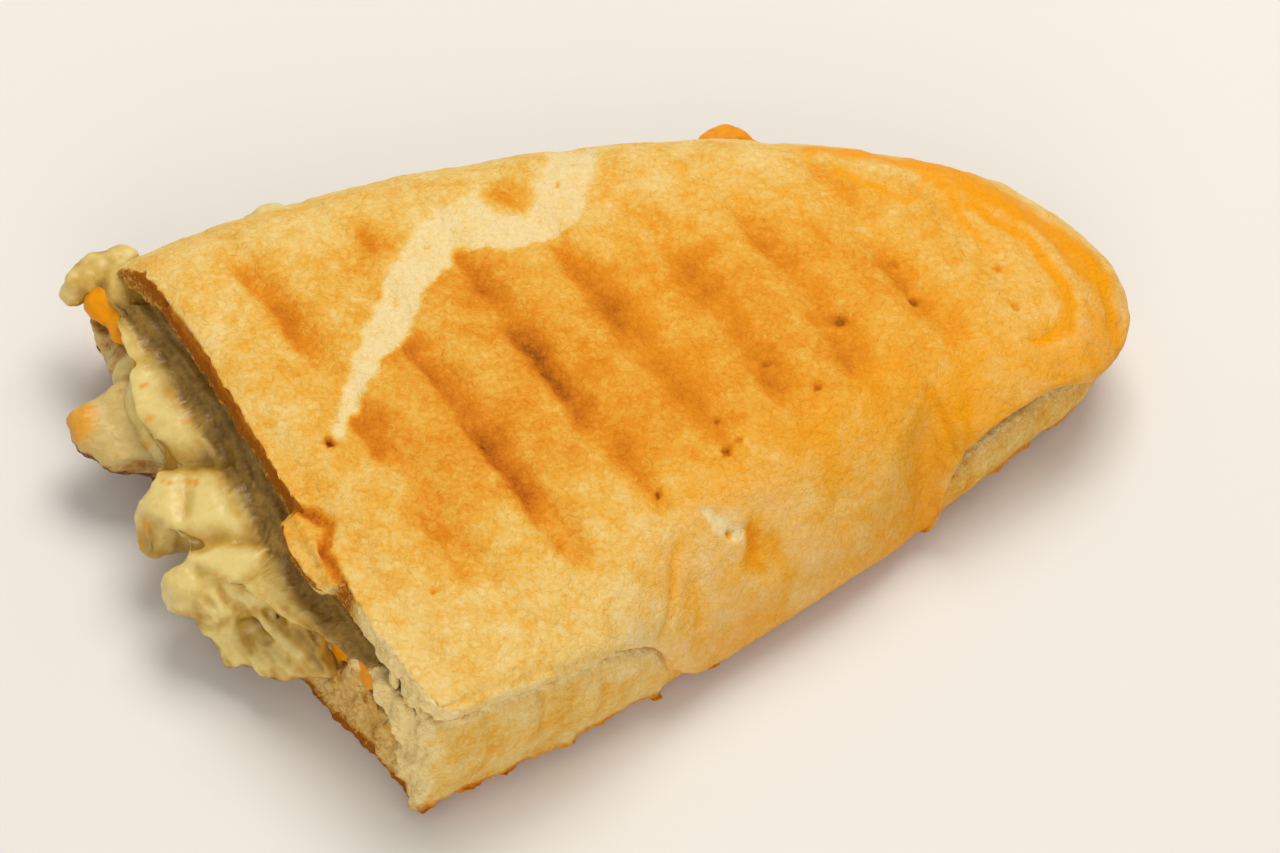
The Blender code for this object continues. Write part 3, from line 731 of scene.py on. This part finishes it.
def cheddar_material(filling):
    """Melted orange cheese: wet gloss, golden orange, with deeper orange painted as shade in its hollows and
    on its undersides.
    """
    material, tree, place, fold = new_material("melted_orange_cheese", "fold")
    cloud = add_node(tree, "TexNoise", {
        "Vector": place, "Scale": 1 / (2.2 * MM), "Detail": 3, "Roughness": 0.6})
    tone = add_node(tree, "Math", {0: cloud, 1: 0.8, 2: fold}, operation="MULTIPLY_ADD")
    colour = add_node(tree, "ValToRGB", {"Fac": tone}, stops=(
        (0.45, filling.cheddar), (1, filling.cheddar_shade)))
    return finished(material, colour, cloud, 0.3, 0.4, {
        "Roughness": 0.36, "IOR": 1.45, "Specular IOR Level": 0.16, "Subsurface Weight": 0.05,
        "Subsurface Radius": (1, 0.4, 0.05), "Subsurface Scale": 0.8 * MM})


def chicken_material(filling):
    """Cooked chicken breast: fibrous and moist, pale inside and browned at its edges, with painted shade on
    its underside and in the hollow behind it.
    """
    material, tree, place, seared, glaze = new_material("cooked_chicken_meat", "seared", "glaze")
    fibres = add_node(tree, "TexNoise", {
        "Vector": place, "Scale": 1 / (1.2 * MM), "Detail": 3, "Roughness": 0.6, "Distortion": 0.8})
    tone = add_node(tree, "Math", {0: fibres, 1: 0.8, 2: seared}, operation="MULTIPLY_ADD")
    meat = add_node(tree, "ValToRGB", {"Fac": tone}, stops=(
        (0.45, filling.chicken), (0.85, filling.chicken_seared), (0.963, filling.chicken_shade)))
    colour = add_node(tree, "Mix", {0: glaze, 6: meat, 7: (*filling.fat, 1)}, data_type="RGBA")
    return finished(material, colour.outputs[2], fibres, 0.4, 0.4, {
        "Roughness": 0.36, "IOR": 1.42, "Specular IOR Level": 0.38, "Subsurface Weight": 0.08,
        "Subsurface Radius": (1, 0.5, 0.25), "Subsurface Scale": 1 * MM})


def torn_crumbs(batches):
    """Small torn clumps of crumb on the cut's near corner, as lumps for a bread half."""
    clumps = []
    for seed, count, sides, heights, half_size, inset in batches:
        draw = random.Random(seed)
        for _ in range(count):
            y = draw.uniform(*sides)
            z = draw.uniform(*heights)
            x = float(CUT_LINE(y)) + draw.uniform(-0.3, 1.2) + inset
            size = draw.uniform(0.5, 1) * half_size
            clumps.append((x, y, z, size * 0.8, size, size * draw.uniform(0.9, 1.6)))
    return tuple(clumps)


def folded_side(points, out):
    """How far the skin of the folded side has taken up fat, 0 to 1: none near the cut, most by the tip."""
    x = points[:, 0]
    amount = 0.48 + 0.34 * swell(points, 8, 16, 2) + 0.2 * smooth(34, 54, x)
    return np.clip(amount, 0, 1) * smooth(0.3, -0.5, out[:, 1]) * smooth(-18, 14, x)


def closed_fold(points):
    """1 where the seam between lid and base is pressed shut, 0 on the stretches where it gapes."""
    x, y, _ = points.T
    gaping = band(x, -16, -13, -5, -1) + smooth(48, 52, x)
    return np.where(y > 0, 1, 1 - gaping)


def torn_share(points):
    """1 on the white torn crumb of the near corner, fading to 0 on the toasted face beside it."""
    limit = np.interp(points[:, 2], TORN_HEIGHTS, TORN_REACHES)
    return smooth(0.8, -0.8, points[:, 1] - limit + 0.8 * swell(points, 2.5, 36))


def one_skin(points):
    """1 along the folded side where the lid's skin runs on down over the base, 0 elsewhere."""
    x, y, _ = points.T
    return band(x, -14, 5, 45, 49) * (y < FOLDED_SIDE)


def seam_height(points):
    """Height of the seam between lid and base at each point's x."""
    return np.interp(points[:, 0], SEAM_PLACES, SEAM_HEIGHTS)


def by_seam(points, out, other):
    """True along the folded side where the given other half of the roll is near."""
    return (node_gap(points, other) < 2) & (out[:, 1] < 0.1) & (points[:, 1] < FOLDED_SIDE)


def rim_gaps(points, out):
    """How far each point faces out of the cut, and its distances in plan to the cut's rim and the sides."""
    toward_cut = out @ CUT_OUT
    wall = np.abs(out[:, 2]) < WALL_TILT
    cut_gap = plan_gap(points, points[wall & (toward_cut > 0.75)])
    side_gap = plan_gap(points, points[wall & (toward_cut < 0.2)])
    return toward_cut, cut_gap, side_gap


def seam_share(points, other, width, side_gap):
    """1 at the outer edge of the seam with the other half of the roll, fading to 0 away from it."""
    return bell(node_gap(points, other), width) * smooth(4, 1.5, side_gap)


def round_off(points, out):
    """Rounds the lid's folded side, which swells out and has no corner along its middle."""
    x, y, z = points.T
    up = out[:, 2]
    away = plan_gap(points, points[(np.abs(up) < WALL_TILT) & (out[:, 1] < -0.4)])
    along = band(x, -16, 8, 60, 74) * (y < 12)
    above = smooth(14, 27, z)
    middle = bell(z - 15, 7) * smooth(-0.2, -0.6, out[:, 1]) * smooth(0.8, 0.6, up)
    rounded = points.copy()
    rounded[:, 2] -= 2 * along * above * bell(away, 5) * smooth(0, 0.5, up)
    rounded[:, :2] -= out[:, :2] * (1.3 * along * above * smooth(0.6, 0.2, up))[:, None]
    rounded += out * (1.8 * along * smooth(50, 40, x) * middle)[:, None]
    return rounded


def tucked_lip(points):
    """1 where the lid's lip runs down the folded side and sinks into the base's wall, 0 elsewhere."""
    x, _, z = points.T
    seam = seam_height(points)
    lip = seam + one_skin(points) * (SKIN_FOOT - seam)
    return smooth(3.5, 0.5, z - lip) * band(x, -20, -14, 3, 10)


def draw_down(points):
    """Draws the lid's lip down over the base to the foot of the folded side."""
    x, y, z = points.T
    seam = seam_height(points)
    top = 1.75 * seam + 3
    outer = SIDE_RIM(x)
    share = one_skin(points) * smooth(9, 6, y - outer)
    over = z - seam
    lower = SKIN_FOOT + np.maximum(over * (top - SKIN_FOOT) / (top - seam), 0.1 * over)
    drawn = points.copy()
    drawn[:, 2] += share * np.where(z < top, lower - z, 0)
    inner = SIDE_FOOT(x)
    bulge = inner + (outer - inner) * (1 - (1 - np.clip(drawn[:, 2] / 4.5, 0, 1)) ** 2)
    bulge -= 0.6 * smooth(-6, 12, x)
    held = np.maximum(drawn[:, 1], bulge)
    drawn[:, 1] += share * smooth(8, 5, drawn[:, 2]) * (held - drawn[:, 1])
    return drawn


def shape_lid(mesh):
    """Evens out the lid, rounds its folded side, draws its lip down and refines where relief shows."""
    relax(mesh, 4)
    relax(mesh, 10, 1 - smooth(-4, -1.5, reach(read_mm(mesh))))
    points = round_off(read_mm(mesh), facing(mesh))
    write_mm(mesh, points)
    x, _, z = points.T
    shoulder = band(x, -14, -2, 68, 76) * smooth(12, 16, z)
    relax(mesh, SHOULDER_STEPS, shoulder * smooth(24, 12, behind_side(points)))
    write_mm(mesh, draw_down(read_mm(mesh)))
    relax(mesh, 10, shoulder)
    points = read_mm(mesh)
    refine(mesh, (reach(points) > -3) | by_seam(points, facing(mesh), "bread_bottom"))


def pale_crack(points, up, ragged):
    """The unbrowned crack and the browned island in it, each 0 to 1."""
    x, y, _ = points.T
    pale = inside_path(points, PALE_SPINE) + ragged
    pale = np.minimum(pale, y - PALE_LOWER_EDGE + 0.5 * ragged + 100 * (x < -17))
    bay_x, bay_y, bay_long, bay_wide = PALE_BAY
    pale = np.minimum(pale, 1.5 * (np.hypot((x - bay_x) / bay_long, (y - bay_y) / bay_wide) - 1))
    island_x, island_y, island_radius = ISLAND
    island = island_radius - np.hypot(x - island_x, y - island_y)
    pale = np.minimum(pale, 0.6 * ragged - island)
    return smooth(-0.5, 0.8, pale) * smooth(0.2, 0.5, up), smooth(-1, 3, island)


def lid_grease(points, out, wandering, ring):
    """Where cheese grease has soaked the lid: its tip, a streak, a ring and the folded side, 0 to 1."""
    grease = smooth(-2, 2, inside_path(wandering, GREASE_SPINE) + 1.4 * swell(points, 6, 14, 2))
    grease = np.maximum(grease, 0.9 * smooth(-0.8, 1, inside_path(wandering, GREASE_STREAK)))
    grease = np.maximum(grease, smooth(-1, 0.6, ring))
    return np.maximum(grease, folded_side(points, out))


def build_lid(crust):
    piece = fused_piece("toasted_lid", "bread_top", crust.grain, torn_crumbs(LID_CLUMPS) + LEAF_LUMPS)
    mesh = piece.data
    shape_lid(mesh)
    points, out = read_mm(mesh), facing(mesh)
    x, y, z = points.T
    up = out[:, 2]
    toward_cut, cut_gap, side_gap = rim_gaps(points, out)
    top = smooth(0.25, 0.75, up)
    roof = smooth(-0.15, -0.6, up)
    wandering = wander(points, 11, 1.1)
    marks = strokes(wandering, LID_MARKS)
    cores = [(*place, length * 0.85, 0.9, strength) for *place, length, _, strength in LID_MARKS]
    lines = strokes(wandering + np.array([0.8, 0, 0]), cores)
    ribs = troughs(wandering)
    ragged = 0.9 * swell(points, 2.2, 13, 2)
    pale, island = pale_crack(points, up, ragged)
    torn = smooth(-0.4, 0.4, inside_path(wandering, TORN_STROKES) + 0.6 * ragged) * top
    pits = holes(points, PINHOLES) * top
    ring = inside_path(wandering, GREASE_RING)
    face = smooth(0.35, 0.7, toward_cut) * bell(cut_gap, 2, 4) * smooth(-9, -6, reach(points))
    skin = smooth(6, 4, behind_side(points)) * smooth(-44, -38, x)
    leaf = smooth(-0.5, 0.5, inside_path(points, LEAF_SPINE)) * smooth(24, 26, z)
    crumb = np.maximum(face, roof * smooth(1.5, 2.5, side_gap) * (1 - skin))
    crumb *= 1 - leaf * smooth(-0.4, 0, up)
    grease = lid_grease(points, out, wandering, ring) * (1 - torn) * (1 - crumb)
    crack = grooves(points, LEAF_CRACK, (0, 1)) * smooth(0.3, 0.6, up)
    tucks = grooves(points, LID_TUCKS, (0, 2)) * (y < 0) * smooth(0.97, 0.85, up)

    middle = bell(x - 6, 52, 4) * bell(y - 4, 26, 4)
    # Painted light: the crust is kept paler on the near shoulder, where the top rolls over towards the folded
    # side and faces away from the key light
    shoulder_light = bell(x - 9, 22, 4) * bell(y + 25, 7)
    toast = 0.22 + 0.2 * middle + 0.26 * marks + 0.14 * lines + 0.07 * ribs * middle
    toast += 0.08 * swell(points, 7, 15, 2) + 0.22 * island
    toast -= 0.06 * (1 - top) + 0.06 * np.exp(-side_gap / 4)
    toast += 0.07 * (1 - top) * smooth(-12, 12, x) * (y < FOLDED_SIDE) - 0.11 * shoulder_light * (1 - marks)
    # Painted shade: the crack behind the loose leaf is browned as a dark shadow line, and the tucks down the
    # folded side are browned darker in their grooves
    toast += 0.5 * crack + 0.2 * tucks + 0.08 * leaf
    toast += 0.55 * smooth(4.2, 2, z + 0.8 * swell(points, 3, 38))
    toast = toast * (1 - pale) * (1 - 0.85 * torn) + 0.02 * pale + 0.8 * pits

    relief = rough(points, LID_RELIEF) + 0.12 * top * (cells(points, 2.6, 9) - 0.5)
    relief -= (0.45 * marks + 0.4 * ribs + crust.stroke_depth / MM * lines) * top
    relief -= 0.4 * pale - 0.12 * pale * swell(points, 1.6, 4)
    relief -= pits + tucks + crack + 0.3 * torn
    relief += 0.3 * smooth(50, 64, x) * top * swell(points, (2.2, 5, 3), 5)
    relief -= 0.4 * smooth(-1, 0.8, ring) * top
    relief += 0.25 * seam_share(points, "bread_bottom", 1.4, side_gap) * (1 - closed_fold(points))
    relief += crumb * torn_relief(points, 6, 37)
    rim = bell(cut_gap, 1.3)
    shove = rough(points, LID_RIM) - smooth(0.4, 0.75, swell(points, 3, 10))
    moved = points + out * relief[:, None]
    moved += CUT_OUT * (rim * shove * (1 - leaf) + 0.8 * leaf)[:, None]
    moved[:, 2] -= 0.5 * leaf
    moved[:, 1] += 1.2 * tucked_lip(points) * smooth(8, 5, behind_side(points))
    write_mm(mesh, moved)

    corner = torn_share(points) * smooth(-26, -32, y)
    golden = smooth(-14, -20, y)
    damp = 0.66 - 0.16 * golden - 0.2 * smooth(27.5, 24.5, z) * (1 - golden)
    paint(mesh, toast=toast, grease=grease, crumb=crumb, damp=damp * (1 - corner) - 0.15 * corner)
    settle(piece, "bread_top", crust_material(crust))


def shape_base(mesh):
    """Evens out the base, draws its wall in behind the lid's lip and refines where relief shows."""
    relax(mesh, 3)
    points = read_mm(mesh)
    relax(mesh, 9, (1 - smooth(-4, -1.5, reach(points))) * smooth(3, 4.5, points[:, 2]))
    points = read_mm(mesh)
    near_side = smooth(7, 4, behind_side(points))
    points[:, 1] += 0.8 * near_side * one_skin(points) * smooth(-6, 12, points[:, 0])
    write_mm(mesh, points)
    out = facing(mesh)
    at_cut = (reach(points) > -2.5) & (points[:, 2] > 0.2)
    by_foot = (points[:, 2] < 3.5) & (out[:, 2] > -0.8) & (out[:, 1] < -0.1)
    refine(mesh, at_cut | by_foot | by_seam(points, out, "bread_top"))


def build_base(crust):
    piece = fused_piece("toasted_base", "bread_bottom", crust.grain, FOOT_CRISPS + torn_crumbs(BASE_CLUMPS))
    mesh = piece.data
    shape_base(mesh)
    points, out = read_mm(mesh), facing(mesh)
    x, y, z = points.T
    toward_cut, cut_gap, side_gap = rim_gaps(points, out)
    under = smooth(-0.25, -0.75, out[:, 2])
    floor = smooth(0.15, 0.6, out[:, 2]) * smooth(2, 3, z)
    bands = troughs(wander(points, 21, 1)) * smooth(-0.35, 0.25, swell(points, 16, 23) + 0.2)
    crumb = np.maximum(smooth(0.35, 0.7, toward_cut) * bell(cut_gap, 2, 4), floor)
    shut = closed_fold(points)
    foot = smooth(4.2, 2.2, z + 0.8 * swell(points, 3, 38)) * (1 - under)
    covered = one_skin(points) * smooth(7, 4, behind_side(points))
    tucks = grooves(points, BASE_TUCKS, (0, 2)) * (y < 0)

    # Painted shade: the 0.2 share of tucks darkens the creases down the folded side
    toast = 0.2 + 0.1 * swell(points, 6, 24, 2) + 0.75 * foot + 0.2 * tucks + 0.06 * smooth(44, 52, x)
    toast = toast * (1 - under) + under * (0.46 + 0.34 * bands + 0.08 * swell(points, 5, 25, 2))

    relief = (rough(points, BASE_RELIEF) - tucks) * (1 - 0.8 * under) - 0.4 * bands * under
    relief += band(z, 1.2, 2.4, 2.8, 3.8) * (0.35 + rough(points, FOOT_RELIEF))
    relief -= 0.5 * seam_share(points, "bread_top", 1.6, side_gap) * (1 - shut)
    relief += crumb * torn_relief(points, 30, 39)
    relief = relief * (1 - covered) - 0.3 * covered
    rim = bell(cut_gap, 1.6)
    moved = points + out * relief[:, None] + CUT_OUT * (rim * rough(points, BASE_RIM))[:, None]
    moved[:, 2] = np.maximum(moved[:, 2], 0)
    write_mm(mesh, moved)

    corner = torn_share(points) * smooth(-24, -30, y)
    brown = smooth(-12, -28, y) * (1 - corner)
    damp = 0.14 + 0.18 * smooth(-0.2, 0.6, swell(points, 6, 33)) + 0.1 * brown + 0.4 * foot
    damp = damp * (1 - corner) + corner * (-0.12 + 0.5 * foot)
    grease = folded_side(points, out) * (1 - crumb) * (1 - under) * shut
    paint(mesh, toast=toast, grease=grease, crumb=crumb, damp=damp)
    settle(piece, "bread_bottom", crust_material(crust))


def refine_cheese(mesh):
    """Refines a cheese where it shows, at the cut and along the open side."""
    points = read_mm(mesh)
    refine(mesh, (reach(points) > -2) | (points[:, 1] > 44))


def build_white_cheese(filling):
    lumps = WHITE_LOBES + WHITE_BITS
    piece = fused_piece("melted_white_cheese", "white_cheese", filling.grain, lumps, WHITE_FOLDS)
    mesh = piece.data
    relax(mesh, 3)
    points = read_mm(mesh)
    _, y, z = points.T
    limit = -1.5 + 3 * smooth(22.6, 21.2, z) + 16 * smooth(21.2, 15.5, z) ** 0.6
    limit = np.minimum(limit, 3 + 16 * smooth(38, 34, y))
    write_mm(mesh, hold_back(points, limit + 30 * smooth(42.5, 44, y)))
    relax(mesh, 3)
    refine_cheese(mesh)
    relax(mesh, 3)
    points, out = read_mm(mesh), facing(mesh)
    x, y, z = points.T
    up = out[:, 2]
    past = reach(points)
    creases = grooves(points, WHITE_CREASES, (0, 1)) * smooth(0.5, 2, past) * smooth(8, 12, z)
    strings = band(y, -34, -28, -14, -10) * smooth(1, 2.5, past)
    wet = smooth(19, 20.4, z + 0.8 * swell(points, 3, 44)) * smooth(42, 38, y)
    wet *= band(past, -6, -3, 2.6, 4.4)
    ridges = swell(np.stack([past, y, z], axis=1), (0.9, 5, 1.6), 43, 2)
    across, lengthways = 0.93 * x + 0.36 * y, 0.93 * y - 0.36 * x
    drawn = swell(np.stack([across, lengthways, z], axis=1), (1.3, 6, 2.4), 45, 2)
    hole = pocket(points, WHITE_HOLE)
    wrinkles = rough(points, WHITE_RELIEF) + 0.7 * smooth(46, 49, y) * swell(points, 2.4, 48)

    relief = wrinkles * (1 - 0.5 * wet) + wet * (0.65 * ridges - 0.2) - creases
    relief += 0.4 * strings * drawn * smooth(-0.6, 0.1, up)
    relief += 0.1 * swell(points, 0.9, 46) * smooth(0, 2, past)
    write_mm(mesh, points + out * relief[:, None] - CUT_OUT * (2.4 * hole)[:, None])

    # Painted shade and light: darker in the hollows between raised wrinkles, in the creases, in the hole and
    # on undersides, darker near and under the lid's cut edge and low on the near lobes, lighter on the raised
    # parts of drawn strands, and on the back lobe lighter on top as a painted highlight and darker on its
    # sides; in the wet strip, darker in the valleys between the ridges.
    fold = -0.04 - 0.34 * wrinkles + 0.24 * creases + 0.35 * smooth(0.15, -0.7, up) + 0.9 * hole
    fold += 0.12 * smooth(18, 15, z) * smooth(-8, -14, y) + strings * (0.05 - 0.3 * drawn)
    fold += (0.16 - 0.26 * smooth(0.6, 0.95, up)) * smooth(41, 44, y)
    fold += 0.25 * smooth(6, 4, past) * (1 - wet)
    fold = fold * (1 - wet) + wet * (0.42 - 0.85 * ridges)
    oil = np.zeros(len(points))
    blur = 0.4 * swell(points, 0.8, 47)
    for spot_x, spot_y, radius, strength in OIL_SPOTS:
        away = np.hypot(x - spot_x, y - spot_y) + blur
        oil = np.maximum(oil, strength * smooth(radius, 0.4 * radius, away))
    paint(mesh, fold=fold, wet=wet, oil=oil * smooth(1, 2.5, past) * (1 - wet))
    settle(piece, "white_cheese", white_cheese_material(filling))


def build_cheddar(filling):
    piece = fused_piece("melted_orange_cheese", "cheddar", filling.grain, CHEDDAR_POOLS)
    mesh = piece.data
    points = read_mm(mesh)
    y = points[:, 1]
    write_mm(mesh, hold_back(points, 3 + 20 * smooth(34, 38, y) - 2.6 * smooth(-18, -22, y)))
    relax(mesh, 5)
    refine_cheese(mesh)
    points, out = read_mm(mesh), facing(mesh)
    relief = rough(points, CHEDDAR_RELIEF)
    write_mm(mesh, points + out * relief[:, None])
    # Painted shade: darker in the hollows of the relief and on the undersides
    paint(mesh, fold=0.05 - 0.5 * relief + 0.3 * smooth(0.1, -0.7, out[:, 2]))
    settle(piece, "cheddar", cheddar_material(filling))


def build_chicken(filling):
    piece = fused_piece("cooked_chicken", "chicken", filling.grain, CHICKEN_CHUNKS)
    mesh = piece.data
    points = read_mm(mesh)
    y = points[:, 1]
    limit = 4.5 + 20 * bell(y - 22.5, 6, 4) + 3 * swell(points, 6, 66)
    write_mm(mesh, hold_back(points, limit * smooth(-26, -20, y) - 0.8 * (y < -22)))
    relax(mesh, 5)
    refine(mesh, reach(read_mm(mesh)) > -1)
    points, out = read_mm(mesh), facing(mesh)
    x, y, z = points.T
    fibres = swell(points, (3.5, 1.3, 1.1), 62, 2)
    relief = 0.4 * swell(points, 4.5, 61) + 0.3 * fibres
    hollow = pocket(points, CAVITY)
    write_mm(mesh, points + out * relief[:, None] - CUT_OUT * (3 * hollow)[:, None])
    proud = smooth(8, 11, reach(points))
    glaze = proud * smooth(11.4, 13.2, z - 0.9 * (x + 76) + swell(points, 2.5, 64))
    # Searing and painted shade together: browner at random and at the near end, and darker on the underside
    # and in the hollow as painted shade
    seared = 0.06 - 0.2 * proud + 0.45 * smooth(0, -0.8, out[:, 2]) + 0.25 * swell(points, 4, 65)
    seared += 0.8 * hollow - 0.3 * fibres + 0.5 * smooth(-24, -27, y)
    seared += 0.6 * proud * smooth(0.4, -0.3, out[:, 2])
    paint(mesh, seared=seared, glaze=0.8 * glaze)
    settle(piece, "chicken", chicken_material(filling))


# Places of the camera and the lights in metres, and half the floor's side
CAMERA_PLACE = Vector((-0.2475, -0.5358, 0.7827))
KEY_PLACE = Vector((0.15, 0.27, 0.76))
FILL_PLACE = Vector((-0.3, -0.72, 0.42))
FLOOR_HALF = 3


def aimed(place, target, roll=0):
    """A turn that looks from one place at another, tilted about that direction by roll."""
    turn = (target - place).to_track_quat("-Z", "Y").to_matrix().to_4x4()
    return Matrix.Translation(place) @ turn @ Matrix.Rotation(roll, 4, "Z")


def soft_light(name, place, target, side, power, colour):
    """A square lamp aimed at the target; its side is in metres and its power in watts."""
    lamp = bpy.data.lights.new(name, "AREA")
    lamp.shape = "SQUARE"
    lamp.size = side
    lamp.energy = power
    lamp.color = colour
    linked(name, lamp).matrix_world = aimed(place, target)


def build_stage(stage):
    low, high = CAD_BOX
    middle = (low + high) / 2
    floor_mesh = bpy.data.meshes.new("floor")
    corners = [(x * FLOOR_HALF, y * FLOOR_HALF, 0) for x, y in ((-1, -1), (1, -1), (1, 1), (-1, 1))]
    floor_mesh.from_pydata(corners, [], [(0, 1, 2, 3)])
    floor = linked("floor", floor_mesh)
    floor.location.z = -0.05 * MM
    material, tree, _ = new_material("matt_studio_board")
    surface = add_node(tree, "BsdfPrincipled", {"Base Color": (*stage.floor, 1), "Roughness": 0.85})
    add_node(tree, "OutputMaterial", {"Surface": surface})
    floor_mesh.materials.append(material)
    soft_light("key", KEY_PLACE, middle, 0.5, stage.key, (1, 0.97, 0.92))
    soft_light("fill", FILL_PLACE, middle, 0.6, stage.fill, (1, 0.98, 0.95))
    world = bpy.data.worlds.new("room")
    world.use_nodes = True
    room = world.node_tree.nodes["Background"].inputs
    room["Color"].default_value = (1, 0.98, 0.95, 1)
    room["Strength"].default_value = stage.sky
    bpy.context.scene.world = world
    eye = bpy.data.cameras.new("camera")
    eye.lens = stage.lens
    eye.clip_start = 0.01
    holder = linked("camera", eye)
    holder.matrix_world = aimed(CAMERA_PLACE, middle, stage.roll)
    bpy.context.scene.camera = holder
    bpy.context.scene.view_settings.view_transform = "Standard"


class SANDWICH_OT_base(bpy.types.Operator):
    """Builds the lower half of the roll"""
    bl_idname = "sandwich.base"
    bl_label = "Toasted base"

    def execute(self, context):
        build_base(context.scene.sandwich_crust)
        return {"FINISHED"}


class SANDWICH_OT_chicken(bpy.types.Operator):
    """Builds the layer of cooked chicken"""
    bl_idname = "sandwich.chicken"
    bl_label = "Cooked chicken"

    def execute(self, context):
        build_chicken(context.scene.sandwich_filling)
        return {"FINISHED"}


class SANDWICH_OT_cheddar(bpy.types.Operator):
    """Builds the melted orange cheese"""
    bl_idname = "sandwich.cheddar"
    bl_label = "Orange cheese"

    def execute(self, context):
        build_cheddar(context.scene.sandwich_filling)
        return {"FINISHED"}


class SANDWICH_OT_white_cheese(bpy.types.Operator):
    """Builds the melted white cheese"""
    bl_idname = "sandwich.white_cheese"
    bl_label = "White cheese"

    def execute(self, context):
        build_white_cheese(context.scene.sandwich_filling)
        return {"FINISHED"}


class SANDWICH_OT_lid(bpy.types.Operator):
    """Builds the upper half of the roll, with its grill marks"""
    bl_idname = "sandwich.lid"
    bl_label = "Toasted lid"

    def execute(self, context):
        build_lid(context.scene.sandwich_crust)
        return {"FINISHED"}


class SANDWICH_OT_stage(bpy.types.Operator):
    """Builds the floor, the lights and the camera"""
    bl_idname = "sandwich.stage"
    bl_label = "Stage"

    def execute(self, context):
        build_stage(context.scene.sandwich_stage)
        return {"FINISHED"}


OPERATORS = (SANDWICH_OT_base, SANDWICH_OT_chicken, SANDWICH_OT_cheddar, SANDWICH_OT_white_cheese,
             SANDWICH_OT_lid, SANDWICH_OT_stage)


class SANDWICH_PT_panel(bpy.types.Panel):
    """Buttons that build the sandwich piece by piece"""
    bl_idname = "SANDWICH_PT_panel"
    bl_label = "Toasted sandwich"
    bl_space_type = "VIEW_3D"
    bl_region_type = "UI"
    bl_category = "Sandwich"

    def draw(self, context):
        for operator in OPERATORS:
            self.layout.operator(operator.bl_idname)


CLASSES = (CrustSettings, FillingSettings, StageSettings, *OPERATORS, SANDWICH_PT_panel)


def register():
    for cls in CLASSES:
        bpy.utils.register_class(cls)
    bpy.types.Scene.sandwich_crust = PointerProperty(type=CrustSettings)
    bpy.types.Scene.sandwich_filling = PointerProperty(type=FillingSettings)
    bpy.types.Scene.sandwich_stage = PointerProperty(type=StageSettings)


def unregister():
    del bpy.types.Scene.sandwich_stage
    del bpy.types.Scene.sandwich_filling
    del bpy.types.Scene.sandwich_crust
    for cls in reversed(CLASSES):
        bpy.utils.unregister_class(cls)


def main():
    register()
    bpy.ops.sandwich.base()
    bpy.ops.sandwich.chicken()
    bpy.ops.sandwich.cheddar()
    bpy.ops.sandwich.white_cheese()
    bpy.ops.sandwich.lid()
    bpy.ops.sandwich.stage()


if __name__ == "__main__":
    main()
